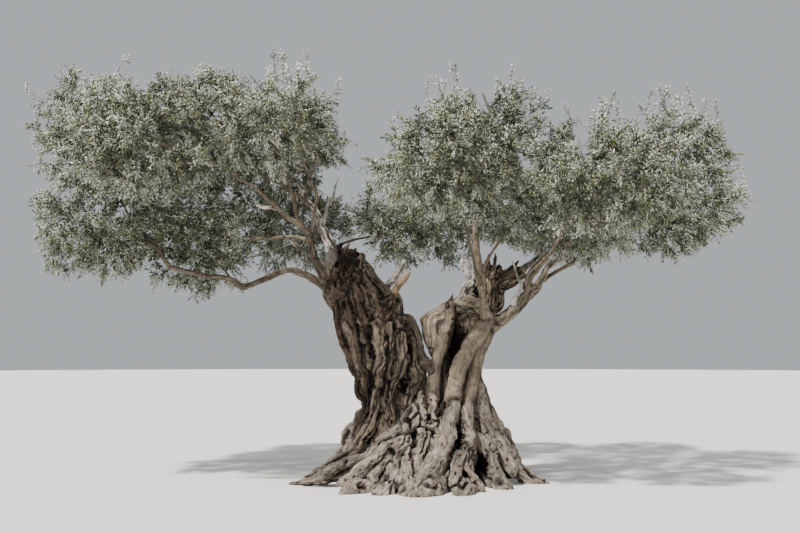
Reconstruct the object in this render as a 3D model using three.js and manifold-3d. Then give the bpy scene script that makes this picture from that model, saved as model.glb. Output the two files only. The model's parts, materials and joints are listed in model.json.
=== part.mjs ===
// An old olive tree: a broad fluted trunk on spreading roots that parts into a heavy leader leaning left and
// a hollow leader of several stems on the right, crooked boughs, and a wide, airy crown of foliage masses.
// Millimetres, +Z up. The origin is in the flat cut at ground level under the trunk; +X is to the right and
// +Y to the back.
import * as THREE from "three";
import { mergeVertices } from "three/addons/utils/BufferGeometryUtils.js";
import Module from "manifold-3d";

const wasm = await Module();
wasm.setup();

// Driving dimensions
const FORK_HEIGHT = 1050; // the trunk parts into its leaders here
const CLEARANCE = 0.4; // between neighbouring pieces of wood
const WORLD = 20000; // a box that holds the whole tree

const STEM_SIDES = 5; // faces round a rib, root or stem
const BOUGH_SIDES = 6;
const TWIG_SIDES = 3;

const SPRAY_LONGEST = 660; // blades that stand for sprays of leaves
const SPRAY_SHORTEST = 300;
const SPRAY_STEP = 20;
const SPRAY_WIDTH = 0.3; // share of its length
const SPRAY_THICKNESS = 0.07;
const SPRAY_WIDEST = 0.45; // where along its length the blade is widest
const TWIG_SUNK = 0.42; // a twig's radius where it starts in its parent, as a share of the parent's

const STEM_FACES = 3; // round the stem of a mass
const STEM_SUNK = 15; // how far that stem starts inside its bough's tip before it is cut clear
const STEM_START = 0.85; // radius at its start, as a share of the tip's
const STEM_REACH = 0.85; // share of the way to the mass's centre
const STEM_BEND = 0.4; // share of its length along which it still follows the bough
const STEM_PLACES = [0, 0.25, 0.45, 0.65, 0.85, 1];
const STEM_END = 18; // radii at the stem's end, and at a twig's start and end
const TWIG_START = 18;
const TWIG_END = 9;
const TURN_COST = 0.5; // how much a twig would rather run on than turn back
const NODE_PLACES = [0.4, 0.7, 1]; // where on a twig others may branch
const OUTWARD = 0.5; // lean of an end blade towards the skin of the mass
const SIDE_LEAN = 0.6; // of a side blade along its twig
const SIDE_RISE = 0.25;
const SIDE_TURN = 2.4; // radians between one side blade and the next
const BARE_END = 30; // how far a twig without an end blade runs past its target
const SIDE_PLACES = [0.92, 0.7]; // where on a twig it has blades besides the one at its end
const SHELL_TWIGS = 6; // twigs that reach for the skin of a mass
const INNER_TWIGS = 1; // and for its inside
const SHELL_DEPTH = 0.66; // how far out the first kind ends, as a share of the mass's reach
const INNER_DEPTH = 0.55;
const SPACE_MARGIN = 0.035; // share of the reach kept free between two masses
const WOOD_MARGIN = 30; // kept free round a limb
const BALLS_PER_STATION = 8; // how finely the wood is followed for that
const BALLS_ON_STEM = 40;
const FREE_STEPS = 8; // places along a twig or a blade's edge at which that is tried

const BARK = { color: 0x8a7a68, roughness: 0.95, metalness: 0 };
const DEAD_WOOD = { color: 0xb5ada1, roughness: 0.9, metalness: 0 };
const LEAF = { color: 0x7c8868, roughness: 0.6, metalness: 0 };

// The trunk's two halves, each an axis of stations [x, y, z, radius] with ribs round it
const LEFT_AXIS = [
  [-200, 60, -200, 560],
  [-250, 50, 500, 450],
  [-295, 20, 1060, 385],
  [-413, 10, 1480, 395],
  [-575, 0, 1850, 380],
  [-765, 0, 2200, 380],
  [-850, 10, 2460, 290],
  [-870, 20, 2570, 210],
];
const RIGHT_AXIS = [
  [420, 60, -200, 480],
  [440, 90, 500, 370],
  [470, 120, 1060, 270],
  [480, 150, 1500, 225],
  [540, 170, 1850, 200],
  [640, 190, 2120, 150],
];
const LEFT_RIBS = { count: 7, offset: 0.68, size: 0.4, twist: 0.9, turn: 0.35, uneven: 0.4, seed: 5 };
const RIGHT_RIBS = { count: 5, offset: 0.7, size: 0.42, twist: -0.5, turn: 1.3, uneven: 0.4, seed: 11 };

// A root leaves the trunk at `from` and runs out along the ground to `to`; each is [x, y, z, radius]
const ROOTS = [
  { from: [-300, -420, 560, 120], to: [-1430, -230, 0, 50] },
  { from: [-560, -120, 800, 140], to: [-1330, 420, 0, 60] },
  { from: [-330, -480, 420, 170], to: [-720, -860, 0, 150] },
  { from: [-110, -430, 760, 120], to: [-420, -1000, 0, 120] },
  { from: [20, -480, 560, 120], to: [-130, -1060, 0, 130] },
  { from: [330, -520, 560, 130], to: [40, -1040, 0, 190] },
  { from: [500, -560, 430, 100], to: [450, -1010, 0, 130] },
  { from: [740, -20, 780, 150], to: [1400, -110, 0, 70] },
  { from: [720, -200, 480, 130], to: [900, -520, 0, 120] },
  { from: [640, 260, 640, 170], to: [1270, 560, 0, 80] },
  { from: [420, 400, 700, 180], to: [700, 1130, 0, 90] },
  { from: [60, 420, 640, 180], to: [60, 1260, 0, 85] },
  { from: [-320, 400, 720, 180], to: [-560, 1120, 0, 90] },
  { from: [-560, 240, 600, 160], to: [-1080, 800, 0, 75] },
];
// The shape of a root between those two: [share of its way out, share of its drop that is left]
const ROOT_BENDS = [[0.3, 0.56], [0.62, 0.16]];
const ROOT_INSIDE = 160; // a root starts this far above where it leaves the trunk, nearer the middle

// Stems that stand in the trunk, by stations [x, y, z, radius]
const FRONT_STEM = [
  [270, -560, 420, 150],
  [290, -470, 740, 118],
  [355, -420, 980, 92],
  [425, -400, 1280, 92],
  [530, -360, 1520, 98],
  [661, -300, 1710, 100],
  [775, -250, 1850, 92],
];
const SLIM_STEM = [
  [520, -620, 330, 75],
  [568, -520, 540, 55],
  [530, -400, 760, 62],
  [560, -300, 1000, 72],
  [620, -240, 1300, 78],
  [690, -230, 1560, 88],
  [775, -210, 1780, 100],
];
const EDGE_RIB = [
  [770, -20, 500, 150],
  [700, 0, 900, 130],
  [630, 10, 1200, 110],
  [620, 10, 1450, 100],
  [700, -40, 1650, 105],
  [780, -110, 1800, 110],
];
const BACK_SHELL = [
  [330, 190, 1000, 150],
  [370, 200, 1500, 120],
  [470, 200, 1900, 110],
  [560, 210, 2130, 110],
];
const BACK_SLAB = [
  [470, 130, 1900, 90],
  [590, 60, 2080, 120],
  [760, 120, 2130, 100],
];
// Burrs on the broken top of the left leader
const LEFT_BURRS = [
  [[-960, -90, 2250, 170], [-985, -170, 2560, 130], [-1000, -200, 2660, 60]],
  [[-760, -40, 2250, 170], [-720, -110, 2500, 110], [-690, -150, 2590, 50]],
  [[-900, 160, 2250, 170], [-930, 200, 2540, 120], [-960, 230, 2640, 55]],
];
const RIGHT_STEMS = [FRONT_STEM, SLIM_STEM, EDGE_RIB, BACK_SHELL, BACK_SLAB];
const MIDDLE_STEM = [
  [120, -330, 760, 110],
  [150, -220, 1078, 88],
  [169, -200, 1296, 78],
  [216, -180, 1492, 76],
  [276, -150, 1654, 80],
  [345, -120, 1841, 76],
  [365, -90, 2090, 50],
];

// Limbs in the order in which they grow, each giving way to those before it: [name, look, stations]
const LIMBS = [
  ["middle_stem", BARK, MIDDLE_STEM.slice(1)],
  ["folded_stub", DEAD_WOOD, [
    [330, -40, 2020, 95], [190, 0, 1850, 120], [110, -30, 1700, 80], [120, -90, 1560, 35],
  ]],
  ["bark_strip", BARK, [
    [-240, -60, 1900, 70], [-96, -150, 1880, 48], [-20, -200, 1660, 44], [45, -240, 1450, 46],
    [120, -240, 1300, 56],
  ]],
  ["sawn_stub", BARK, [
    [-470, -220, 1880, 100], [-400, -330, 2020, 62], [-282, -370, 2226, 52],
    [-144, -410, 2429, 50],
  ]],
  ["grey_stub", DEAD_WOOD, [
    [-480, 120, 2060, 80], [-343, 130, 2322, 55], [-200, 140, 2562, 45],
  ]],
  ["low_left_bough", BARK, [
    [-900, -100, 2040, 160], [-1060, -190, 2230, 118], [-1220, -250, 2345, 78],
    [-1490, -350, 2433, 62], [-1740, -410, 2370, 60], [-1991, -450, 2268, 62],
    [-2230, -430, 2350, 58], [-2504, -400, 2395, 54], [-2883, -350, 2491, 50],
  ]],
  ["low_left_outer", BARK, [
    [-2883, -350, 2491, 48], [-3060, -400, 2730, 42], [-3380, -470, 2840, 32],
  ]],
  ["low_left_upper", BARK, [
    [-2980, -370, 2620, 40], [-3238, -200, 2912, 36], [-3480, 20, 3160, 32], [-3620, 80, 3400, 28],
  ]],
  ["low_left_inner", BARK, [
    [-2130, -440, 2310, 42], [-2260, -260, 2440, 36], [-2420, 0, 2560, 30],
  ]],
  ["left_fork_bough", BARK, [
    [-1060, -160, 2260, 110], [-1180, -210, 2480, 86], [-1250, -290, 2700, 72],
    [-1278, -300, 2850, 66],
  ]],
  ["left_mid_bough", BARK, [
    [-1250, -260, 2790, 48], [-1500, -130, 2870, 44], [-1778, 0, 2851, 42], [-2138, 120, 2873, 38],
    [-2589, 330, 3078, 33], [-2800, 620, 3180, 28],
  ]],
  ["left_front_bough", BARK, [
    [-1278, -300, 2860, 60], [-1432, -400, 2985, 56], [-1628, -510, 3140, 50],
    [-1840, -680, 3330, 40], [-2200, -920, 3560, 30],
  ]],
  ["sawn_spur", DEAD_WOOD, [
    [-1640, -515, 3140, 44], [-1760, -500, 3165, 40], [-1880, -480, 3190, 34],
  ]],
  ["left_upright_bough", BARK, [
    [-1262, -290, 2850, 44], [-1226, -250, 3094, 40], [-1220, -200, 3336, 38],
    [-1310, -120, 3580, 32],
  ]],
  ["left_near_bough", BARK, [
    [-1330, -330, 2900, 42], [-1410, -420, 3090, 40], [-1448, -620, 3280, 36],
    [-1510, -930, 3520, 30],
  ]],
  ["pale_bough", DEAD_WOOD, [
    [-900, 60, 2420, 130], [-1049, 110, 2729, 96], [-1177, 200, 2957, 82], [-1271, 300, 3200, 70],
    [-1390, 420, 3400, 60], [-1560, 620, 3680, 46],
  ]],
  ["pale_spur", DEAD_WOOD, [
    [-1160, 210, 3020, 44], [-1094, 200, 3309, 32], [-1034, 210, 3440, 30], [-972, 300, 3680, 22],
  ]],
  ["left_high_bough", BARK, [
    [-1330, 350, 3290, 48], [-1560, 300, 3480, 40], [-1900, 160, 3640, 34], [-2150, 60, 3790, 28],
  ]],
  ["left_back_bough", DEAD_WOOD, [
    [-980, 160, 2340, 110], [-1250, 400, 2620, 76], [-1560, 620, 2880, 60], [-1700, 900, 3080, 48],
    [-1720, 1250, 3180, 34],
  ]],
  ["centre_left_bough", BARK, [
    [-1060, 140, 2740, 50], [-880, 330, 2850, 42], [-620, 480, 2920, 36], [-380, 600, 3000, 30],
  ]],
  ["upright_stem", BARK, [
    [770, -245, 1840, 84], [738, -300, 2055, 60], [695, -350, 2341, 56], [658, -400, 2590, 50],
    [631, -420, 3017, 42], [660, -350, 3640, 30],
  ]],
  ["right_arm", BARK, [
    [760, -210, 1760, 110], [983, -200, 1932, 105], [1170, -200, 2106, 104],
    [1334, -200, 2250, 88],
  ]],
  ["right_arm_tip", BARK, [
    [1320, -200, 2236, 66], [1429, -200, 2386, 52], [1535, -200, 2561, 42], [1760, -240, 2820, 30],
  ]],
  ["right_long_bough", BARK, [
    [1240, -180, 2180, 60], [1480, -60, 2380, 52], [1900, 60, 2640, 44], [2320, 60, 2960, 32],
  ]],
  ["right_front_bough", BARK, [
    [1180, -240, 2120, 60], [1290, -520, 2380, 46], [1480, -900, 2700, 38],
    [1600, -1150, 2980, 30],
  ]],
  ["right_back_bough", DEAD_WOOD, [
    [700, 180, 2080, 100], [816, 290, 2189, 80], [979, 350, 2280, 66], [1198, 480, 2440, 54],
    [1480, 820, 2700, 42], [1650, 1120, 2950, 32],
  ]],
  ["right_high_bough", BARK, [
    [1120, 430, 2390, 48], [1320, 220, 2460, 42], [1534, 200, 2666, 38], [1760, 260, 3050, 34],
    [2000, 220, 3480, 28],
  ]],
  ["right_far_top_bough", BARK, [
    [1700, 250, 2950, 36], [2050, 330, 3180, 34], [2450, 330, 3420, 30], [2680, 300, 3700, 26],
  ]],
  ["pale_stub_bough", DEAD_WOOD, [
    [640, 190, 2060, 90], [641, 200, 2401, 54], [560, 260, 2570, 48], [500, 480, 2760, 40],
    [430, 760, 2960, 32],
  ]],
  ["centre_low_bough", BARK, [
    [690, -355, 2400, 40], [790, -520, 2600, 34], [900, -640, 2780, 28],
  ]],
  ["centre_front_bough", BARK, [
    [700, -340, 2280, 46], [600, -620, 2500, 38], [500, -980, 2780, 32], [440, -1220, 3000, 28],
  ]],
].map(([name, material, stations]) => ({ name, material, stations }));

// Masses of foliage: [name, centre, reach along X, Y and Z, the limb whose tip feeds it]
const MASSES = [
  ["foliage_low_left", [-3760, -330, 2950], [960, 1100, 660], "low_left_outer"],
  ["foliage_left_hanging", [-2700, 380, 2800], [1000, 950, 650], "low_left_inner"],
  ["foliage_far_left", [-3790, 60, 4090], [930, 1250, 850], "low_left_upper"],
  ["foliage_left_front", [-2980, -1480, 3760], [1050, 1020, 720], "left_front_bough"],
  ["foliage_left_back", [-3050, 1680, 3500], [1080, 1080, 900], "left_mid_bough"],
  ["foliage_left_top", [-2640, -150, 4240], [930, 1080, 770], "left_high_bough"],
  ["foliage_left_top_back", [-1900, 1150, 4120], [950, 1000, 800], "pale_bough"],
  ["foliage_left_low_back", [-1650, 2100, 3250], [980, 1020, 830], "left_back_bough"],
  ["foliage_upper_left", [-1480, -150, 4080], [760, 900, 600], "left_upright_bough"],
  ["foliage_upper_front", [-1620, -1800, 3850], [950, 950, 520], "left_near_bough"],
  ["foliage_centre_left", [-180, 800, 3130], [800, 800, 620], "centre_left_bough"],
  ["foliage_centre_top", [760, -250, 4110], [900, 1000, 660], "upright_stem"],
  ["foliage_right_low", [2000, -450, 3060], [900, 1000, 580], "right_arm_tip"],
  ["foliage_far_right", [3090, -50, 3260], [920, 1150, 740], "right_long_bough"],
  ["foliage_right_front", [1900, -1850, 3250], [1050, 1000, 640], "right_front_bough"],
  ["foliage_right_back", [2050, 1800, 3460], [1080, 1080, 860], "right_back_bough"],
  ["foliage_right_top", [1980, 160, 3920], [780, 950, 480], "right_high_bough"],
  ["foliage_far_right_top", [3130, 260, 4000], [850, 950, 500], "right_far_top_bough"],
  ["foliage_centre_back", [300, 1800, 3480], [1100, 1050, 860], "pale_stub_bough"],
  ["foliage_centre_low", [1000, -520, 3180], [760, 900, 600], "centre_low_bough"],
  ["foliage_centre_front", [330, -1850, 3470], [1000, 950, 720], "centre_front_bough"],
].map(([name, centre, reach, fedBy], at) => ({ name, centre, reach, fedBy, seed: at + 1 }));

const vec = (a) => new THREE.Vector3(a[0], a[1], a[2]);
const mix = (a, b, t) => a + (b - a) * t;

// A small seeded generator of numbers from 0 to 1
function seeded(seed) {
  let state = Math.imul(seed, 7919) >>> 0;
  return () => {
    state = (Math.imul(state, 1664525) + 1013904223) >>> 0;
    return state / 4294967296;
  };
}

// Points, directions and radii along stations [x, y, z, radius]
function spine(stations, rows) {
  const curve = new THREE.CatmullRomCurve3(stations.map(vec), false, "catmullrom", 0.5);
  const last = stations.length - 1;
  const places = [];
  for (let row = 0; row <= rows; row++) {
    const t = row / rows;
    const at = Math.min(Math.floor(t * last), last - 1);
    const radius = mix(stations[at][3], stations[at + 1][3], t * last - at);
    places.push({ point: curve.getPoint(t), along: curve.getTangent(t), radius });
  }
  return places;
}

function solidOf(geometry) {
  geometry.deleteAttribute("normal");
  geometry.deleteAttribute("uv");
  const merged = mergeVertices(geometry, 1e-3);
  return new wasm.Manifold(
    new wasm.Mesh({
      numProp: 3,
      vertProperties: new Float32Array(merged.attributes.position.array),
      triVerts: new Uint32Array(merged.index.array),
    }),
  );
}

// A tapering tube through stations, made by bending a cylinder; `grown` thickens it all over
function tube(stations, sides, grown = 0) {
  const rows = stations.length - 1;
  const places = spine(stations, rows);
  places[0].point.addScaledVector(places[0].along, -grown);
  places[rows].point.addScaledVector(places[rows].along, grown);
  let side = new THREE.Vector3(0, 1, 0).cross(places[0].along);
  if (side.lengthSq() < 0.01) side = new THREE.Vector3(1, 0, 0).cross(places[0].along);
  for (const place of places) {
    side.addScaledVector(place.along, -side.dot(place.along)).normalize();
    place.side = side.clone();
    place.other = place.along.clone().cross(side);
  }
  const geometry = new THREE.CylinderGeometry(1, 1, 1, sides, rows);
  const position = geometry.attributes.position;
  for (let i = 0; i < position.count; i++) {
    const place = places[Math.round((0.5 - position.getY(i)) * rows)];
    const size = place.radius + grown;
    const p = place.point
      .clone()
      .addScaledVector(place.side, position.getX(i) * size)
      .addScaledVector(place.other, position.getZ(i) * size);
    position.setXYZ(i, p.x, p.y, p.z);
  }
  return solidOf(geometry);
}

const join = (solids) => solids.reduce((all, solid) => all.add(solid));

function largest(solid) {
  const pieces = solid.decompose();
  return pieces.reduce((best, piece) => (piece.volume() > best.volume() ? piece : best));
}

// The half of the world above or below a level
function halfSpace(level, above) {
  const box = new THREE.BoxGeometry(WORLD, WORLD, WORLD);
  box.translate(0, 0, level + (above ? WORLD / 2 : -WORLD / 2));
  return solidOf(box);
}

// A half of the trunk: a core with ribs that wind round it
function ribbed(axis, ribs, grown) {
  const rnd = seeded(ribs.seed);
  const parts = [tube(axis.map(([x, y, z, r]) => [x, y, z, r * ribs.offset]), STEM_SIDES, grown)];
  for (let i = 0; i < ribs.count; i++) {
    const swell = 1 + ribs.uneven * (rnd() - 0.5);
    const start = (2 * Math.PI * (i + ribs.uneven * rnd())) / ribs.count + ribs.turn;
    const stations = axis.map(([x, y, z, r], at) => {
      const angle = start + (ribs.twist * at) / (axis.length - 1);
      const out = r * ribs.offset;
      return [x + out * Math.cos(angle), y + out * Math.sin(angle), z, r * ribs.size * swell];
    });
    parts.push(tube(stations, STEM_SIDES, grown));
  }
  return join(parts);
}

function rootStations({ from, to }) {
  const bends = ROOT_BENDS.map(([share, drop]) => {
    const station = from.map((value, axis) => mix(value, to[axis], share));
    station[2] = from[2] * drop;
    return station;
  });
  const inside = [from[0] * 0.8, from[1] * 0.7, from[2] + ROOT_INSIDE, from[3] * 0.7];
  return [inside, from, ...bends, to];
}

// The wood of the trunk and leaders, thickened all over by `grown`
function bole(grown) {
  const aboveGround = halfSpace(-grown, true);
  const burrs = LEFT_BURRS.map((stations) => tube(stations, STEM_SIDES, grown));
  const leftHalf = join([ribbed(LEFT_AXIS, LEFT_RIBS, grown), ...burrs]);
  const rightHalf = ribbed(RIGHT_AXIS, RIGHT_RIBS, grown);
  const stems = RIGHT_STEMS.map((stations) => tube(stations, STEM_SIDES, grown));
  const foot = ROOTS.map((root) => tube(rootStations(root), STEM_SIDES, grown));
  const middleFoot = tube(MIDDLE_STEM.slice(0, 2), STEM_SIDES, grown);
  const low = halfSpace(FORK_HEIGHT + grown, false);
  const high = halfSpace(FORK_HEIGHT + CLEARANCE - grown, true);
  const rightAll = join([rightHalf, ...stems]);
  const whole = join([leftHalf, rightAll, middleFoot, ...foot]);
  return {
    trunk: largest(whole.intersect(low).intersect(aboveGround)),
    left_leader: largest(leftHalf.intersect(high)),
    right_leader: largest(rightAll.intersect(high)),
  };
}

const tree = new THREE.Group();

function addNode(name, solid, look) {
  const made = solid.getMesh();
  const geometry = new THREE.BufferGeometry();
  const positions = new Float32Array(made.numVert * 3);
  for (let i = 0; i < made.numVert; i++) {
    positions.set(made.vertProperties.subarray(i * made.numProp, i * made.numProp + 3), i * 3);
  }
  geometry.setAttribute("position", new THREE.BufferAttribute(positions, 3));
  geometry.setIndex(new THREE.BufferAttribute(made.triVerts, 1));
  geometry.computeVertexNormals();
  const mesh = new THREE.Mesh(geometry, new THREE.MeshStandardMaterial(look));
  mesh.name = name;
  tree.add(mesh);
}

const exact = bole(0);
const fat = bole(CLEARANCE);
addNode("trunk", exact.trunk, BARK);
addNode("left_leader", exact.left_leader, BARK);
addNode("right_leader", largest(exact.right_leader.subtract(fat.left_leader)), BARK);

// The limbs, each cut clear of the wood before it
let wood = join([fat.trunk, fat.left_leader, fat.right_leader]);
const tips = new Map();
const fatLimbs = new Map();
for (const limb of LIMBS) {
  addNode(limb.name, largest(tube(limb.stations, BOUGH_SIDES).subtract(wood)), limb.material);
  const fatLimb = tube(limb.stations, BOUGH_SIDES, CLEARANCE);
  fatLimbs.set(limb.name, fatLimb);
  wood = wood.add(fatLimb);
  tips.set(limb.name, spine(limb.stations, limb.stations.length - 1).at(-1));
}

// Where wood is, as balls along every limb, to keep twigs and sprays clear of it
const woodBalls = [];
for (const { stations } of [...LIMBS, { stations: LEFT_AXIS }, { stations: RIGHT_AXIS }]) {
  for (const place of spine(stations, (stations.length - 1) * BALLS_PER_STATION)) {
    woodBalls.push({ centre: place.point, radius: place.radius });
  }
}
const nearWood = (mass, p, margin) =>
  woodBalls.some((ball) => ball.mass !== mass && ball.centre.distanceTo(p) < ball.radius + margin);

// How far out in a mass a point lies: 0 at its centre, 1 at its skin
function depthIn(mass, p) {
  const [x, y, z] = mass.centre;
  return Math.hypot((p.x - x) / mass.reach[0], (p.y - y) / mass.reach[1], (p.z - z) / mass.reach[2]);
}

function inSpace(mass, p) {
  const depth = depthIn(mass, p);
  if (depth > 1) return false;
  return MASSES.every((other) => other === mass || depthIn(other, p) > depth + SPACE_MARGIN);
}

// Points spread evenly over the unit sphere, and through the unit ball
function shellPoint(i, count, turn) {
  const up = 1 - (2 * i + 1) / count;
  const angle = i * Math.PI * (3 - Math.sqrt(5)) + turn;
  const out = Math.sqrt(1 - up * up);
  return new THREE.Vector3(out * Math.cos(angle), out * Math.sin(angle), up);
}
const EVEN_STEP = 1.2207440846; // the root of x^4 = x + 1, whose powers step evenly through three dimensions
const SEED_SHIFT = 0.618;
function ballPoints(count, seed) {
  const found = [];
  for (let i = 1; found.length < count; i++) {
    const p = new THREE.Vector3();
    for (let axis = 0; axis < 3; axis++) {
      const step = seed * SEED_SHIFT + i / EVEN_STEP ** (axis + 1);
      p.setComponent(axis, 2 * (step % 1) - 1);
    }
    if (p.length() < 1) found.push(p);
  }
  return found;
}

// The points that the twigs of a mass grow towards, nearest first
function targetsOf(mass, start) {
  const ends = ballPoints(INNER_TWIGS, mass.seed).map((p) => p.multiplyScalar(INNER_DEPTH));
  for (let i = 0; i < SHELL_TWIGS; i++) {
    ends.push(shellPoint(i, SHELL_TWIGS, mass.seed).multiplyScalar(SHELL_DEPTH));
  }
  return ends
    .map((q) => vec(mass.centre).add(q.multiply(vec(mass.reach))))
    .filter((p) => inSpace(mass, p) && !nearWood(mass, p, WOOD_MARGIN))
    .sort((a, b) => a.distanceTo(start) - b.distanceTo(start));
}

// A three-sided sliver through rings of { centre, width, thickness }; a ring without width is a point
function sliver(rings, across) {
  const points = [];
  const faces = [];
  const ways = rings.map((ring, at) => {
    const next = rings[Math.min(at + 1, rings.length - 1)].centre;
    return next.clone().sub(rings[Math.max(at - 1, 0)].centre).normalize();
  });
  rings.forEach((ring, at) => {
    const flat = across.clone().addScaledVector(ways[at], -across.dot(ways[at])).normalize();
    const up = ways[at].clone().cross(flat);
    const corners = ring.width ? TWIG_SIDES : 1;
    ring.first = points.length;
    for (let corner = 0; corner < corners; corner++) {
      const angle = Math.PI / 2 + (2 * Math.PI * corner) / TWIG_SIDES;
      points.push(
        ring.centre
          .clone()
          .addScaledVector(flat, (Math.cos(angle) * (ring.width ?? 0)) / Math.sqrt(3))
          .addScaledVector(up, (Math.sin(angle) * (ring.thickness ?? 0) * 2) / 3),
      );
    }
  });
  for (let at = 0; at + 1 < rings.length; at++) {
    const [here, next] = [rings[at], rings[at + 1]];
    for (let corner = 0; corner < TWIG_SIDES; corner++) {
      const after = (corner + 1) % TWIG_SIDES;
      const [a0, a1] = here.width ? [here.first + corner, here.first + after] : [here.first, here.first];
      const [b0, b1] = next.width ? [next.first + corner, next.first + after] : [next.first, next.first];
      if (here.width) faces.push(a0, a1, b0);
      if (next.width) faces.push(a1, b1, b0);
    }
  }
  if (rings[0].width) faces.push(0, 2, 1);
  const geometry = new THREE.BufferGeometry().setFromPoints(points);
  geometry.setIndex(faces);
  return solidOf(geometry);
}

function widestRing(centre, length) {
  return { centre, width: SPRAY_WIDTH * length, thickness: SPRAY_THICKNESS * length };
}

function blade(root, heading, across, length) {
  const at = (share) => root.clone().addScaledVector(heading, share * length);
  return sliver([{ centre: at(0) }, widestRing(at(SPRAY_WIDEST), length), { centre: at(1) }], across);
}

// A twig that ends in a blade
function sprig(from, to, thick, heading, across, length) {
  const at = (share) => to.clone().addScaledVector(heading, share * (length || BARE_END));
  const rings = [
    { centre: from, width: 2 * thick, thickness: 2 * thick },
    { centre: to, width: 2 * TWIG_END, thickness: 2 * TWIG_END },
  ];
  if (length) {
    rings.push(widestRing(at(SPRAY_WIDEST), length));
  }
  rings.push({ centre: at(1) });
  return sliver(rings, across);
}

function segmentFree(mass, from, to, margin) {
  for (let step = 1; step <= FREE_STEPS; step++) {
    const p = from.clone().lerp(to, step / FREE_STEPS);
    if (!inSpace(mass, p) || nearWood(mass, p, margin)) return false;
  }
  return true;
}

// The longest blade in a heading that stays in the space, or 0 where even a short one won't fit
function roomFor(mass, root, heading, across) {
  for (let length = SPRAY_LONGEST; length >= SPRAY_SHORTEST; length -= SPRAY_STEP) {
    const tip = root.clone().addScaledVector(heading, length);
    const middle = root.clone().addScaledVector(heading, length * SPRAY_WIDEST);
    const free = [-0.5, 0.5].every((side) => {
      const corner = middle.clone().addScaledVector(across, side * SPRAY_WIDTH * length);
      return segmentFree(mass, root, corner, WOOD_MARGIN) && segmentFree(mass, tip, corner, WOOD_MARGIN);
    });
    if (free && segmentFree(mass, root, tip, WOOD_MARGIN)) return length;
  }
  return 0;
}

// The stem of a mass, from just inside its bough's tip to near its middle, as { point, along, radius }
function stemOf(mass) {
  const tip = tips.get(mass.fedBy);
  const start = tip.point.clone().addScaledVector(tip.along, -STEM_SUNK);
  const end = start.clone().lerp(vec(mass.centre), STEM_REACH);
  const bend = start.clone().addScaledVector(tip.along, start.distanceTo(end) * STEM_BEND);
  const curve = new THREE.QuadraticBezierCurve3(start, bend, end);
  return STEM_PLACES.map((t) => ({
    point: curve.getPoint(t),
    along: curve.getTangent(t),
    radius: mix(tip.radius * STEM_START, STEM_END, t),
  }));
}

const stationsOf = (stem) => stem.map(({ point: p, radius }) => [p.x, p.y, p.z, radius]);

// The node that a target is best reached from without leaving the space
function nearestNode(mass, nodes, target) {
  let best = null;
  let bestCost = Infinity;
  for (const node of nodes) {
    const way = target.clone().sub(node.point);
    const distance = way.length();
    const cost = distance * (1 + TURN_COST - TURN_COST * (way.dot(node.along) / distance));
    if (cost < bestCost && segmentFree(mass, node.point, target, WOOD_MARGIN)) {
      best = node;
      bestCost = cost;
    }
  }
  return best;
}

// A mass: its stem, twigs that branch off towards its targets, and blades on them, cut clear of its bough
function grow(mass) {
  const stem = stemOf(mass);
  const rnd = seeded(mass.seed);
  const parts = [tube(stationsOf(stem), STEM_FACES)];
  const nodes = stem.slice(1);
  for (const target of targetsOf(mass, stem[0].point)) {
    const from = nearestNode(mass, nodes, target);
    if (!from) continue;
    const heading = target.clone().sub(from.point).normalize();
    const outward = target.clone().sub(vec(mass.centre)).divide(vec(mass.reach)).normalize();
    const across = new THREE.Vector3(rnd() - 0.5, rnd() - 0.5, 0).cross(heading).normalize();
    const thick = Math.min(from.radius * TWIG_SUNK, TWIG_START);
    for (const t of NODE_PLACES) {
      const point = from.point.clone().lerp(target, t);
      nodes.push({ point, along: heading, radius: mix(thick, TWIG_END, t) });
    }
    const endWay = heading.clone().addScaledVector(outward, OUTWARD).normalize();
    parts.push(sprig(from.point, target, thick, endWay, across, roomFor(mass, target, endWay, across)));
    const turn = rnd() * 2 * Math.PI;
    for (let side = 0; side < SIDE_PLACES.length; side++) {
      const angle = turn + side * SIDE_TURN;
      const aside = new THREE.Vector3(Math.cos(angle), Math.sin(angle), SIDE_RISE);
      const way = heading.clone().multiplyScalar(SIDE_LEAN).add(aside).normalize();
      const root = from.point.clone().lerp(target, SIDE_PLACES[side]);
      const flat = new THREE.Vector3(rnd() - 0.5, rnd() - 0.5, 1).cross(way).normalize();
      const length = roomFor(mass, root, way, flat);
      if (length) parts.push(blade(root, way, flat, length));
    }
  }
  return largest(join(parts).subtract(fatLimbs.get(mass.fedBy)));
}

for (const mass of MASSES) {
  for (const { point, radius } of spine(stationsOf(stemOf(mass)), BALLS_ON_STEM)) {
    woodBalls.push({ centre: point, radius, mass });
  }
}
for (const mass of MASSES) addNode(mass.name, grow(mass), LEAF);

export default tree;
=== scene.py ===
"""An old olive tree: fluted trunk on spreading roots, two leaders, crooked and dead boughs, airy crown.

The wood is grown from the same stations as the part's solids and merged into one skin, which is then given
the relief of its bark. Twigs and leaves grow on from the limbs by the part's own seeded rule, carried to
finer wood.
"""
import json
import math

import bpy
import numpy as np
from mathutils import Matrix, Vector, kdtree

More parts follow.
